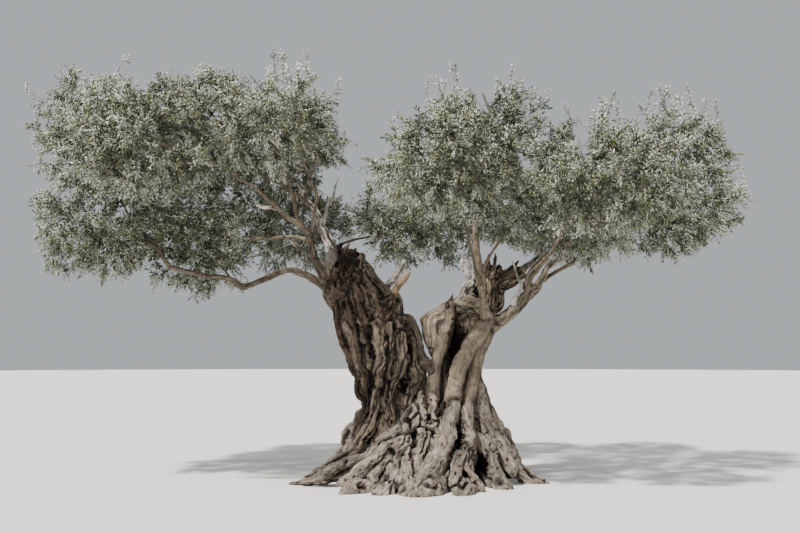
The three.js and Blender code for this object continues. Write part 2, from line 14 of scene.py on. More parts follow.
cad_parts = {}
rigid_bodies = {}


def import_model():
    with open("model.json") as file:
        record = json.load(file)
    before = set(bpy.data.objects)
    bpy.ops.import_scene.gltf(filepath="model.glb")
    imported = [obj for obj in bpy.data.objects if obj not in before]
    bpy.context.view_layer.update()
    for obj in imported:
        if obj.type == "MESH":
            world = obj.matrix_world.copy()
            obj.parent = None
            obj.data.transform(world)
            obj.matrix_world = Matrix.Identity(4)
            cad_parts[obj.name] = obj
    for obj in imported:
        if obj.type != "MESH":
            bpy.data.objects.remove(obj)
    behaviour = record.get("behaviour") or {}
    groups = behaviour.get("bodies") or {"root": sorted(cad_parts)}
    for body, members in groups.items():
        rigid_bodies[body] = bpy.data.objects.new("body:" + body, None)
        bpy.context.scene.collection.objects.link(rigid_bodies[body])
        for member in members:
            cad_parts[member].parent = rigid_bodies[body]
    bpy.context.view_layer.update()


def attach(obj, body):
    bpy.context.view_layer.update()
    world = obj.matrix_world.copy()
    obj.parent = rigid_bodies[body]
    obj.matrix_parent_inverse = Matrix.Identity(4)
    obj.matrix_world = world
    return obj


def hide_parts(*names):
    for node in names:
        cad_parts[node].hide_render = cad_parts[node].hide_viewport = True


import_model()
MM = 0.001

# The camera, where the photograph was taken from
CAMERA_PLACE = (-0.236, -12.5, 1.55)
CAMERA_PITCH = 4.45
CAMERA_LENS = 47.66

# All stations are [x, y, z, radius] in millimetres.
# The trunk's two halves: an axis each, and how many ribs it has, how far out and how thick as shares of its
# radius, how far they wind, where the first starts and how uneven they are
LEFT_AXIS = [
    (-200, 60, -200, 560), (-250, 50, 500, 450), (-295, 20, 1060, 385), (-413, 10, 1480, 395),
    (-575, 0, 1850, 380), (-765, 0, 2200, 380), (-850, 10, 2460, 290), (-870, 20, 2570, 210),
]
RIGHT_AXIS = [
    (420, 60, -200, 480), (440, 90, 500, 370), (470, 120, 1060, 270), (480, 150, 1500, 225),
    (540, 170, 1850, 200), (640, 190, 2120, 150),
]
LEFT_RIBS = dict(count=7, offset=0.68, size=0.40, twist=0.9, turn=0.35, uneven=0.4, seed=5)
RIGHT_RIBS = dict(count=5, offset=0.7, size=0.42, twist=-0.5, turn=1.3, uneven=0.4, seed=11)

# A root leaves the trunk at its first station and runs out along the ground to its second
ROOTS = [
    ((-300, -420, 560, 120), (-1430, -230, 0, 50)),
    ((-560, -120, 800, 140), (-1330, 420, 0, 60)),
    ((-330, -480, 420, 170), (-720, -860, 0, 150)),
    ((-110, -430, 760, 120), (-420, -1000, 0, 120)),
    ((20, -480, 560, 120), (-130, -1060, 0, 130)),
    ((330, -520, 560, 130), (40, -1040, 0, 190)),
    ((500, -560, 430, 100), (450, -1010, 0, 130)),
    ((740, -20, 780, 150), (1400, -110, 0, 70)),
    ((720, -200, 480, 130), (900, -520, 0, 120)),
    ((640, 260, 640, 170), (1270, 560, 0, 80)),
    ((420, 400, 700, 180), (700, 1130, 0, 90)),
    ((60, 420, 640, 180), (60, 1260, 0, 85)),
    ((-320, 400, 720, 180), (-560, 1120, 0, 90)),
    ((-560, 240, 600, 160), (-1080, 800, 0, 75)),
]
FRONT_STEM = [
    (270, -560, 420, 150), (290, -470, 740, 118), (355, -420, 980, 92), (425, -400, 1280, 92),
    (530, -360, 1520, 98), (661, -300, 1710, 100), (775, -250, 1850, 92),
]
SLIM_STEM = [
    (520, -620, 330, 75), (568, -520, 540, 55), (530, -400, 760, 62), (560, -300, 1000, 72),
    (620, -240, 1300, 78), (690, -230, 1560, 88), (775, -210, 1780, 100),
]
EDGE_RIB = [
    (770, -20, 500, 150), (700, 0, 900, 130), (630, 10, 1200, 110), (620, 10, 1450, 100),
    (700, -40, 1650, 105), (780, -110, 1800, 110),
]
BACK_SHELL = [
    (330, 190, 1000, 150), (370, 200, 1500, 120), (470, 200, 1900, 110), (560, 210, 2130, 110),
]
BACK_SLAB = [
    (470, 130, 1900, 90), (590, 80, 2060, 100), (760, 120, 2110, 90),
]
MIDDLE_STEM = [
    (120, -330, 760, 110), (150, -220, 1078, 88), (169, -200, 1296, 78), (216, -180, 1492, 76),
    (276, -150, 1654, 80), (330, -130, 1841, 70), (350, -110, 1980, 54), (360, -105, 2080, 40),
]
LEFT_BURRS = [
    [(-960, -90, 2250, 170), (-985, -170, 2560, 130), (-1000, -200, 2660, 60)],
    [(-760, -40, 2250, 170), (-720, -110, 2500, 110), (-690, -150, 2590, 50)],
    [(-900, 160, 2250, 170), (-930, 200, 2540, 120), (-960, 230, 2640, 55)],
]

# Strands on the skin of the left half, finer than the part's solids: (kind of wood, stations)
SKIN_STRANDS = [
    # Strands of the left flank are darker: darker brown flaky bark with painted shade
    ("flank", [
        (-940, -250, 2040, 80), (-860, -70, 1600, 75), (-740, -80, 1300, 75), (-670, -90, 1090, 70),
        (-640, -150, 900, 65), (-680, -200, 700, 65), (-720, -230, 560, 50),
    ]),
    ("flank", [
        (-840, -330, 2250, 75), (-770, -320, 1920, 70), (-690, -290, 1600, 70), (-620, -270, 1340, 60),
        (-590, -240, 1110, 55), (-600, -260, 900, 50), (-650, -270, 690, 50),
    ]),
    ("leader", [
        (-540, -350, 1890, 80), (-490, -350, 1720, 90), (-460, -350, 1500, 85), (-500, -320, 1270, 75),
        (-500, -310, 1110, 75), (-500, -340, 950, 65), (-540, -360, 770, 60), (-620, -400, 630, 65),
        (-710, -440, 470, 65), (-860, -480, 340, 60), (-1060, -460, 230, 50),
    ]),
    ("leader", [
        (-350, -240, 1950, 60), (-370, -330, 1760, 60), (-380, -360, 1600, 50), (-380, -370, 1380, 50),
        (-410, -350, 1180, 60), (-410, -370, 980, 50), (-380, -400, 820, 45),
    ]),
    ("leader", [
        (-260, -90, 2120, 60), (-240, -130, 1890, 60), (-210, -250, 1630, 70), (-190, -310, 1400, 65),
        (-250, -340, 1240, 60), (-320, -360, 1110, 50), (-330, -380, 950, 45), (-310, -420, 800, 40),
    ]),
    ("leader", [
        (-190, -80, 1820, 65), (-100, -110, 1600, 90), (-60, -170, 1400, 100), (-60, -230, 1200, 90),
        (-100, -300, 1040, 80), (-170, -380, 910, 65),
    ]),
    ("leader", [(-540, -350, 1890, 80), (-450, -320, 1950, 75), (-380, -260, 2000, 65)]),
    ("flank", [(-470, -330, 1960, 95), (-480, -335, 1880, 112), (-470, -330, 1800, 90)]),
    ("flank", [(-470, -230, 1860, 105), (-420, -310, 1970, 84), (-385, -335, 2040, 66)]),
    ("flank", [(-1000, -110, 2560, 90), (-940, -260, 2340, 100), (-930, -280, 2090, 90)]),
    ("flank", [
        (-830, -150, 2600, 80), (-790, -270, 2410, 80), (-730, -350, 2170, 75), (-660, -360, 1950, 65),
        (-580, -360, 1730, 55),
    ]),
    ("leader", [
        (-660, -130, 2480, 75), (-550, -200, 2320, 75), (-420, -210, 2120, 65), (-320, -200, 1960, 60),
    ]),
]
# Gnarled dead wood and snags on other limbs: (limb, kind of wood, stations)
SNAGS = [
    ("right_back_bough", "weathered", [
        (760, 60, 1980, 70), (902, 90, 2060, 68), (943, 110, 2192, 62), (1011, 130, 2288, 56),
        (1105, 160, 2354, 50), (1218, 200, 2431, 38),
    ]),
    ("right_back_bough", "weathered", [
        (802, 20, 2040, 62), (800, 50, 2290, 48), (836, 70, 2400, 42), (880, 100, 2500, 36),
        (905, 110, 2610, 24), (900, 110, 2680, 14),
    ]),
    ("right_back_bough", "weathered", [
        (830, 60, 2120, 55), (860, 90, 2217, 46), (931, 110, 2378, 42), (1030, 130, 2460, 38),
        (1120, 160, 2520, 34), (1175, 180, 2590, 20),
    ]),
    ("right_back_bough", "weathered", [
        (780, 60, 2320, 40), (790, 80, 2450, 36), (830, 110, 2560, 28), (822, 120, 2660, 16),
    ]),
    ("right_back_bough", "weathered", [(802, 10, 2060, 60), (831, 30, 2240, 54), (845, 50, 2380, 40)]),
    ("right_back_bough", "weathered", [(912, 60, 2220, 40), (985, 70, 2370, 36), (1100, 90, 2466, 32)]),
    ("right_leader", "slab", [
        (400, 40, 2040, 62), (500, -10, 2060, 66), (620, 0, 2046, 62), (734, 20, 2060, 60),
    ]),
    ("right_leader", "slab", [
        (440, 60, 2120, 50), (540, 30, 2135, 60), (660, 40, 2120, 60), (740, 60, 2110, 50),
    ]),
    ("right_leader", "leader", [
        (410, 0, 1990, 40), (480, -60, 1985, 34), (570, -70, 1960, 32), (660, -60, 1975, 34),
    ]),
    ("right_leader", "weathered", [
        (780, 100, 2060, 90), (800, 110, 2240, 95), (850, 130, 2390, 88), (930, 150, 2470, 60),
    ]),
    ("right_back_bough", "weathered", [
        (860, 100, 2200, 66), (960, 130, 2350, 66), (1060, 170, 2430, 60), (1190, 220, 2500, 44),
    ]),
    ("right_leader", "dead", [
        (430, 40, 2000, 40), (470, 30, 2100, 40), (520, 40, 2190, 40), (597, 80, 2300, 44),
        (637, 140, 2380, 46),
    ]),
    ("right_leader", "leader", [(400, 80, 1700, 60), (410, 40, 1950, 60), (440, 60, 2060, 50)]),
    ("right_arm", "dead", [
        (1070, -250, 2069, 34), (1114, -260, 2150, 24), (1152, -270, 2253, 19), (1176, -270, 2330, 14),
    ]),
    ("right_arm", "dead", [
        (1240, -160, 2200, 22), (1177, -160, 2333, 18), (1127, -160, 2450, 16), (1080, -160, 2560, 14),
    ]),
    ("right_arm", "lichened", [
        (1270, -180, 2230, 58), (1262, -180, 2359, 46), (1371, -190, 2527, 38), (1513, -200, 2681, 31),
        (1617, -210, 2772, 22),
    ]),
    ("right_arm_tip", "dead", [(1500, -200, 2500, 28), (1640, -210, 2560, 18), (1760, -220, 2585, 14)]),
    ("sawn_stub", "flank", [(-430, -325, 1990, 84), (-378, -342, 2090, 60), (-338, -355, 2145, 50)]),
    ("middle_stem", "weathered", [(338, -105, 2040, 40), (367, -110, 2122, 28), (379, -110, 2187, 12)]),
    ("left_leader", "knob", [(-985, -160, 2600, 60), (-1017, -250, 2612, 72), (-1032, -335, 2606, 66)]),
    ("left_leader", "flank", [(-1010, -120, 2580, 44), (-990, -150, 2690, 32), (-976, -140, 2745, 20)]),
    ("left_leader", "flank", [(-940, -120, 2560, 50), (-938, -170, 2670, 34), (-922, -150, 2775, 18)]),
    ("left_leader", "weathered", [(-870, -120, 2560, 52), (-857, -160, 2680, 36), (-834, -140, 2768, 19)]),
    ("left_leader", "flank", [(-800, -120, 2520, 55), (-786, -165, 2635, 42), (-763, -150, 2706, 24)]),
    ("left_leader", "weathered", [(-730, -150, 2460, 55), (-714, -195, 2562, 42), (-692, -180, 2650, 22)]),
    ("left_leader", "flank", [(-905, -330, 2440, 30), (-880, -340, 2540, 26), (-870, -300, 2640, 18)]),
    ("left_leader", "flank", [(-800, -310, 2420, 30), (-790, -320, 2500, 24), (-770, -280, 2590, 18)]),
    ("left_leader", "flank", [(-900, -60, 2560, 60), (-820, -90, 2650, 45), (-700, -60, 2640, 34)]),
]
# Low strands over the roots
ROOT_STRANDS = [
    [
        (-220, -480, 670, 65), (-350, -520, 560, 60), (-490, -560, 430, 65), (-630, -560, 350, 55),
        (-790, -560, 300, 55), (-940, -540, 220, 55), (-1100, -480, 140, 50), (-1320, -380, 60, 40),
    ],
    [
        (-130, -520, 590, 45), (-280, -620, 530, 55), (-410, -700, 440, 55), (-530, -740, 330, 55),
        (-680, -740, 230, 65), (-810, -700, 110, 70),
    ],
    [
        (-60, -430, 850, 80), (-160, -470, 750, 80), (-130, -560, 620, 65), (0, -580, 600, 65),
        (-30, -640, 480, 65), (-130, -700, 400, 55), (-160, -840, 220, 70),
        (-200, -930, 90, 80), (-230, -980, 0, 60),
    ],
    [
        (0, -420, 1000, 50), (0, -470, 840, 45), (50, -520, 720, 50), (160, -520, 730, 55),
        (160, -470, 870, 40), (130, -420, 1000, 40),
    ],
    [
        (360, -440, 940, 95), (320, -520, 750, 125), (290, -640, 600, 110), (250, -760, 460, 110),
        (150, -880, 320, 125), (70, -960, 170, 140), (10, -1000, 50, 140),
    ],
    [
        (480, -440, 850, 55), (520, -520, 680, 60), (520, -640, 540, 55), (440, -800, 400, 75),
        (380, -900, 270, 70), (350, -980, 130, 60),
    ],
    [(490, -720, 460, 55), (470, -840, 270, 55), (550, -880, 150, 45), (640, -860, 60, 40)],
    [
        (630, -60, 1270, 80), (700, -120, 980, 75), (730, -200, 750, 75), (820, -260, 570, 70),
        (920, -320, 430, 65), (1020, -340, 200, 65),
    ],
]
# Dents pushed into the skin: (middle, radii, push)
DENTS = [
    ((-200, -380, 1110), (48, 140, 105), (15, 170, 0)),
    ((420, -60, 1480), (125, 300, 470), (20, 230, 0)),
    ((650, -560, 230), (100, 360, 190), (0, 340, 0)),
    ((85, -500, 905), (36, 150, 70), (0, 120, 0)),
    ((95, -540, 765), (40, 150, 60), (0, 120, 0)),
    ((220, -450, 820), (48, 200, 130), (0, 190, 0)),
    ((-140, -560, 745), (40, 120, 50), (0, 80, 0)),
    ((-75, -660, 620), (42, 120, 55), (0, 90, 0)),
    ((436, -680, 600), (48, 300, 170), (0, 230, 0)),
    ((-560, -640, 520), (110, 220, 60), (0, 130, 0)),
    ((675, 40, 2240), (48, 150, 60), (0, 130, 0)),
]

# Deep grooves between strands and roots: (half width, depth, places)
GROOVES = [
    (44, 85, [
        (-640, -390, 2050), (-610, -390, 1820), (-590, -380, 1600), (-560, -350, 1340),
        (-560, -300, 1040), (-610, -270, 790),
    ]),
    (34, 60, [
        (-380, -380, 1690), (-360, -400, 1400), (-420, -370, 1140), (-460, -360, 910), (-470, -380, 750),
    ]),
    (46, 80, [(-170, -110, 1830), (-130, -230, 1600), (-130, -310, 1340), (-170, -360, 1140)]),
    (32, 45, [(-790, -380, 2050), (-720, -340, 1690), (-650, -310, 1430), (-620, -260, 1170)]),
    (46, 80, [(-580, -160, 2430), (-500, -240, 2260), (-400, -250, 2090), (-340, -300, 1890)]),
    (30, 40, [(-950, -290, 2420), (-860, -380, 2200), (-780, -370, 1990), (-710, -360, 1760)]),
    (30, 45, [(-830, -250, 2500), (-740, -370, 2250), (-680, -400, 2050), (-640, -390, 1890)]),
    (40, 90, [
        (-960, -300, 2510), (-900, -300, 2590), (-815, -290, 2600), (-740, -270, 2540), (-700, -260, 2440),
    ]),
    (26, 60, [(-870, -310, 2590), (-850, -330, 2500), (-850, -350, 2400)]),
    (46, 130, [(-50, -640, 520), (-110, -710, 420), (-140, -780, 310), (-190, -840, 190)]),
    (40, 110, [(330, -600, 700), (340, -700, 560), (420, -760, 440), (420, -830, 300), (470, -900, 180)]),
    (30, 45, [
        (-290, -290, 1830), (-270, -350, 1600), (-330, -390, 1340), (-360, -380, 1110), (-350, -400, 920),
    ]),
]

# Limbs in the order in which they grow: (name, kind of wood, stations)
LIMBS = [
    ("folded_stub", "folded", [
        (315, -20, 2050, 60), (215, 0, 1950, 96), (150, -10, 1820, 112), (140, -30, 1680, 104),
        (150, -70, 1560, 70),
    ]),
    ("bark_strip", "bough", [
        (-240, -60, 1900, 70), (-96, -150, 1880, 48), (-20, -200, 1660, 44), (45, -240, 1450, 46),
        (120, -240, 1300, 56),
    ]),
    ("sawn_stub", "peeled", [
        (-470, -220, 1880, 100), (-400, -330, 2020, 50), (-282, -370, 2226, 42),
        (-144, -410, 2429, 40),
    ]),
    ("grey_stub", "dead", [
        (-480, 120, 2060, 80), (-343, 130, 2322, 43), (-200, 140, 2562, 35),
    ]),
    ("low_left_bough", "bough", [
        (-900, -100, 2040, 128), (-1060, -190, 2230, 73), (-1220, -250, 2345, 48),
        (-1490, -350, 2433, 38), (-1740, -410, 2370, 37), (-1991, -450, 2268, 38),
        (-2230, -430, 2350, 36), (-2504, -400, 2395, 33), (-2883, -350, 2491, 31),
    ]),
    ("low_left_outer", "bough", [
        (-2883, -350, 2491, 30), (-3060, -400, 2730, 23), (-3380, -470, 2840, 18),
    ]),
    ("low_left_upper", "bough", [
        (-2980, -370, 2620, 22), (-3238, -200, 2912, 18), (-3480, 20, 3160, 16), (-3620, 80, 3400, 14),
    ]),
    ("low_left_inner", "bough", [
        (-2130, -440, 2310, 23), (-2260, -260, 2440, 16), (-2420, 0, 2560, 14),
    ]),
    ("left_fork_bough", "bough", [
        (-1060, -160, 2260, 77), (-1180, -210, 2480, 55), (-1250, -290, 2700, 46),
        (-1278, -300, 2850, 42),
    ]),
    ("left_mid_bough", "bough", [
        (-1250, -260, 2790, 29), (-1500, -130, 2870, 22), (-1778, 0, 2851, 21), (-2138, 120, 2873, 19),
        (-2589, 330, 3078, 16), (-2800, 620, 3180, 14),
    ]),
    ("left_front_bough", "bough", [
        (-1278, -300, 2860, 43), (-1432, -400, 2985, 33), (-1628, -510, 3140, 25),
        (-1840, -680, 3330, 18), (-2200, -920, 3560, 15),
    ]),
    ("sawn_spur", "dead", [
        (-1640, -515, 3140, 26), (-1760, -500, 3165, 28), (-1880, -480, 3190, 24),
    ]),
    ("left_upright_bough", "bough", [
        (-1262, -290, 2850, 29), (-1226, -250, 3094, 23), (-1220, -200, 3336, 22),
        (-1310, -120, 3580, 19),
    ]),
    ("left_near_bough", "bough", [
        (-1330, -330, 2900, 27), (-1410, -420, 3090, 23), (-1448, -620, 3280, 21),
        (-1510, -930, 3520, 17),
    ]),
    ("pale_bough", "bleached_painted_light", [
        (-900, 60, 2420, 110), (-1049, 110, 2729, 71), (-1177, 200, 2957, 61), (-1271, 300, 3200, 52),
        (-1390, 420, 3400, 44), (-1560, 620, 3680, 34),
    ]),
    ("pale_spur", "dead", [
        (-1160, 210, 3020, 26), (-1094, 200, 3309, 18), (-1034, 210, 3440, 16), (-972, 300, 3680, 12),
    ]),
    ("left_high_bough", "bough", [
        (-1330, 350, 3290, 29), (-1560, 300, 3480, 22), (-1900, 160, 3640, 19), (-2150, 60, 3790, 15),
    ]),
    ("left_back_bough", "bleached_painted_light", [
        (-980, 160, 2340, 77), (-1250, 400, 2620, 42), (-1560, 620, 2880, 33), (-1700, 900, 3080, 26),
        (-1720, 1250, 3180, 19),
    ]),
    ("centre_left_bough", "bough", [
        (-1060, 140, 2740, 30), (-880, 330, 2850, 19), (-620, 480, 2920, 16), (-380, 600, 3000, 14),
    ]),
    ("upright_stem", "smooth", [
        (770, -245, 1840, 84), (738, -300, 2055, 53), (695, -350, 2341, 49), (658, -400, 2590, 44),
        (631, -420, 3017, 37), (660, -350, 3640, 26),
    ]),
    ("right_arm", "lichened", [
        (760, -210, 1760, 99), (983, -200, 1932, 80), (1170, -200, 2106, 79),
        (1334, -200, 2250, 67),
    ]),
    ("right_arm_tip", "lichened", [
        (1320, -200, 2236, 56), (1429, -200, 2386, 42), (1535, -200, 2561, 34), (1760, -240, 2820, 24),
    ]),
    ("right_long_bough", "bough", [
        (1240, -180, 2180, 36), (1480, -60, 2380, 26), (1900, 60, 2640, 22), (2320, 60, 2960, 16),
    ]),
    ("right_front_bough", "bough", [
        (1180, -240, 2120, 36), (1290, -520, 2380, 23), (1480, -900, 2700, 19),
        (1600, -1150, 2980, 15),
    ]),
    ("right_back_bough", "dead", [
        (700, 180, 2080, 90), (816, 290, 2189, 64), (979, 350, 2280, 53), (1198, 480, 2440, 43),
        (1480, 820, 2700, 34), (1650, 1120, 2950, 26),
    ]),
    ("right_high_bough", "bough", [
        (1120, 430, 2390, 29), (1320, 220, 2460, 21), (1534, 200, 2666, 19), (1760, 260, 3050, 17),
        (2000, 220, 3480, 14),
    ]),
    ("right_far_top_bough", "bough", [
        (1700, 250, 2950, 22), (2050, 330, 3180, 20), (2450, 330, 3420, 18), (2680, 300, 3700, 16),
    ]),
    ("pale_stub_bough", "bleached_painted_light", [
        (640, 190, 2060, 76), (645, 200, 2360, 70), (592, 200, 2490, 66), (545, 205, 2590, 58),
        (516, 215, 2660, 22), (500, 480, 2760, 14), (430, 760, 2960, 12),
    ]),
    ("centre_low_bough", "bough", [
        (690, -355, 2400, 24), (790, -520, 2600, 19), (900, -640, 2780, 15),
    ]),
    ("centre_front_bough", "bough", [
        (700, -340, 2280, 25), (600, -620, 2500, 19), (500, -980, 2780, 16), (440, -1220, 3000, 14),
    ]),
]

# Masses of foliage: (name, centre, reach along X, Y and Z, the limb whose tip feeds it)
MASSES = [
    ("foliage_low_left", (-3760, -330, 2950), (960, 1100, 660), "low_left_outer"),
    ("foliage_left_hanging", (-2700, 380, 2800), (1000, 950, 650), "low_left_inner"),
    ("foliage_far_left", (-3790, 60, 4090), (930, 1250, 850), "low_left_upper"),
    ("foliage_left_front", (-2980, -1480, 3760), (1050, 1020, 720), "left_front_bough"),
    ("foliage_left_back", (-3050, 1680, 3500), (1080, 1080, 900), "left_mid_bough"),
    ("foliage_left_top", (-2640, -150, 4240), (930, 1080, 770), "left_high_bough"),
    ("foliage_left_top_back", (-1900, 1150, 4120), (950, 1000, 800), "pale_bough"),
    ("foliage_left_low_back", (-1650, 2100, 3250), (980, 1020, 830), "left_back_bough"),
    ("foliage_upper_left", (-1480, -150, 4080), (760, 900, 600), "left_upright_bough"),
    ("foliage_upper_front", (-1620, -1800, 3850), (950, 950, 520), "left_near_bough"),
    ("foliage_centre_left", (-180, 800, 3130), (800, 800, 620), "centre_left_bough"),
    ("foliage_centre_top", (760, -250, 4110), (900, 1000, 660), "upright_stem"),
    ("foliage_right_low", (2000, -450, 3060), (900, 1000, 580), "right_arm_tip"),
    ("foliage_far_right", (3090, -50, 3260), (920, 1150, 740), "right_long_bough"),
    ("foliage_right_front", (1900, -1850, 3250), (1050, 1000, 640), "right_front_bough"),
    ("foliage_right_back", (2050, 1800, 3460), (1080, 1080, 860), "right_back_bough"),
    ("foliage_right_top", (1980, 160, 3920), (780, 950, 480), "right_high_bough"),
    ("foliage_far_right_top", (3130, 260, 4000), (850, 950, 500), "right_far_top_bough"),
    ("foliage_centre_back", (300, 1800, 3480), (1100, 1050, 860), "pale_stub_bough"),
    ("foliage_centre_low", (1000, -520, 3180), (760, 900, 600), "centre_low_bough"),
    ("foliage_centre_front", (330, -1850, 3470), (1000, 950, 720), "centre_front_bough"),
]

# How the limbs are followed, as in the part's source
FORK_HEIGHT = 1050
ROOT_BENDS = [(0.3, 0.56), (0.62, 0.16)]
ROOT_INSIDE = 160
SHELL_TWIGS = 6
INNER_TWIGS = 1
SHELL_DEPTH = 0.66
INNER_DEPTH = 0.55
SPACE_MARGIN = 0.035
WOOD_MARGIN = 30
BALLS_PER_STATION = 8
BALLS_ON_STEM = 40
FREE_STEPS = 8
STEM_SUNK = 15
STEM_START = 0.85
STEM_REACH = 0.85
STEM_BEND = 0.4
STEM_PLACES = (0, 0.25, 0.45, 0.65, 0.85, 1)
STEM_END = 18
TWIG_START = 18
TWIG_END = 9
TWIG_SUNK = 0.42
TURN_COST = 0.5
NODE_PLACES = (0.4, 0.7, 1)
EVEN_STEP = 1.2207440846
SEED_SHIFT = 0.618

# The skin of the wood
VOXEL = 11  # millimetres
CREASE_WIDTH = 26  # of the crease where two strands meet
SAMPLE_STEP = 18
ROOT_LEVEL = 330  # the trunk's skin is two pieces, parted here
SOFTEN_SHARE = 0.5
SOFTEN_ROUNDS = 3
NEAREST_SAMPLES = 14
NOISE_GAIN = 1.7

# Each kind of wood: what RELIEF names, in millimetres but for stretch and roughness, and its colours on its
# ridges and, as painted shade, down in its fissures, creases, grooves and dents. Fissures, ropes and
# wrinkles run with the grain, lumps and pits don't
RELIEF = (
    "fissure", "width", "stretch", "rope", "lump", "lump_size", "pit", "wrinkle", "crease", "roughness",
)
KINDS = {
    "leader": (12, 46, 16, 13, 9, 260, 4, 0, 34, 0.9, "#706456", "#130d09"),
    # Darker brown flaky bark with painted shade, for the leader's left flank, which the crown shades
    "flank": (15, 40, 10, 12, 14, 150, 9, 0, 36, 1.0, "#4b3d32", "#0d0907"),
    "root": (6, 50, 5, 10, 18, 130, 16, 0, 75, 0.75, "#877b70", "#120c08"),
    "smooth": (3, 30, 3, 4, 9, 160, 2, 3.2, 18, 0.5, "#736759", "#201914"),
    "bough": (3, 24, 7, 4, 8, 130, 2, 1.5, 14, 0.6, "#605649", "#1e1813"),
    "peeled": (2, 20, 16, 3, 6, 170, 0, 0, 10, 0.4, "#7c6955", "#3b2c20"),
    "knob": (3, 30, 3, 3, 10, 90, 3, 0, 30, 0.7, "#6d6964", "#1b1815"),
    "slab": (3, 40, 2, 4, 12, 110, 5, 0, 30, 0.9, "#877c6b", "#2a2018"),
    "folded": (3, 30, 14, 4, 8, 160, 1, 0, 55, 0.8, "#7f7365", "#0e0a07"),
    "lichened": (5, 26, 4, 4, 9, 90, 3, 1, 14, 0.8, "#8d8270", "#221b14"),
    # Bleached wood, pale of its own and whitened further as painted sunlight
    "bleached_painted_light": (9, 22, 18, 7, 8, 160, 2, 0, 26, 0.5, "#c0bab0", "#413a32"),
    "dead": (6, 26, 18, 6, 7, 190, 1.5, 0, 20, 0.55, "#ada69c", "#3b342c"),
    "weathered": (9, 24, 14, 8, 9, 150, 2, 0, 26, 0.9, "#80725f", "#130e0a"),
}
DEAD_KINDS = ("dead", "bleached_painted_light", "weathered", "folded")
SAWN = ("sawn_stub", "sawn_spur")
BEND_MOST = 34  # how far a strand strays to either side, and never by more than its radius
BEND_SIZE = 230
BEND_SHIFTS = (0, 531, 977)
STEADY = dict(smooth=0.25, slab=0.5, bough=0.7, lichened=0.5, bleached_painted_light=0.6)  # kinds that run straighter
END_SHAPE = ((0.5, 0.93), (1.1, 0.72), (1.7, 0.34))  # how far an end runs out and how thick, in radii
KIND_SPREAD = 14  # rounds of averaging where one kind of wood meets another
SPREAD_KEPT = 0.3  # of a value in each round
STRAND_LIGHT = (0.84, 1.12)  # how much darker or lighter one strand is than another
FULL_RELIEF = 58  # the radius from which a strand has the whole relief
LEAST_RELIEF = 0.35
GRAIN_SHIFTS = (137.0, 71.0)  # from strand to strand, so that no two are alike
SWAY = 0.8
SWAY_SIZE = 300
FISSURE_WIDTH = 0.22
ROPE_SIZE = 0.55
PIT_SIZE = 62
PIT_RARITY = 0.35
PIT_DEPTH = 4
WRINKLE_SIZES = (160, 160, 24)
RAGGED = (0.4, 2.5)  # how much noise narrows and widens a groove or dent
RAGGED_SIZE = 45
GROOVE_SAMPLES = 80
GROOVE_RAGGED = 0.8
DENT_RAGGED_SIZE = 55
# How much each form darkens the wood, as painted shade in its hollows; lumps lighten it
SHADE = dict(fissure=0.55, rope=0.5, pit=1.4, crease=0.9, sunk=1.2, groove=0.8, wrinkle=0.16, lump=0.15)
MOTTLE = (0.26, 0.24)
MOTTLE_SIZES = (230, 60)

# Cords that wind round a strand: how many, how far out and how thick as shares of its radius, how far they
# wind in radians, and how much they wander
CORD_WANDER = 0.35
RIB_CORDS = (4, 0.86, 0.29, 0.6, CORD_WANDER)
SKIN_CORDS = (3, 0.8, 0.34, 0.8, CORD_WANDER)
STEM_CORDS = (3, 0.75, 0.4, 0.4, CORD_WANDER)
ROOT_CORDS = (3, 0.75, 0.4)  # each root's cords wind by an amount of their own, between the next two
ROOT_WINDING = (-1.2, 1.2)
FOLD_CORDS = (8, 0.88, 0.27, 0.6, 0.06)
DRY_CORDS = (5, 0.8, 0.3, 0.8, 0.2)
BOUGH_CORDS = (3, 0.62, 0.42, 1.2, 0.25)
LIMB_CORDS = dict(
    folded=FOLD_CORDS, dead=DRY_CORDS, bleached_painted_light=DRY_CORDS, weathered=DRY_CORDS, flank=DRY_CORDS,
    leader=DRY_CORDS, bough=BOUGH_CORDS, lichened=BOUGH_CORDS,
)
CORDED_FROM = 24  # the mean radius from which a limb has cords, and a living bough
BOUGH_CORDED_FROM = 36
CORD_STEP = 6  # samples of its strand to each of a cord's own

# Twigs that have lost their leaves, standing out of the crown's top, as stations [x, y, z, radius]
BARE_TWIGS = [
    [
        (2680, 300, 3700, 22), (2760, 290, 3960, 20), (2790, 270, 4180, 18), (2960, 250, 4270, 14),
        (3200, 240, 4400, 10), (3360, 240, 4410, 6),
    ],
    [(2960, 250, 4270, 12), (3080, 200, 4230, 9), (3230, 180, 4270, 5)],
    [(745, -265, 4040, 18), (850, -260, 4150, 17), (815, -260, 4330, 16), (720, -260, 4575, 13)],
    [(-2150, 60, 3790, 22), (-2080, 0, 4100, 16), (-2160, -30, 4420, 11), (-2230, -40, 4700, 6)],
    [(-1310, -120, 3580, 22), (-1230, -100, 3850, 17), (-1290, -90, 4150, 12), (-1180, -80, 4380, 6)],
]

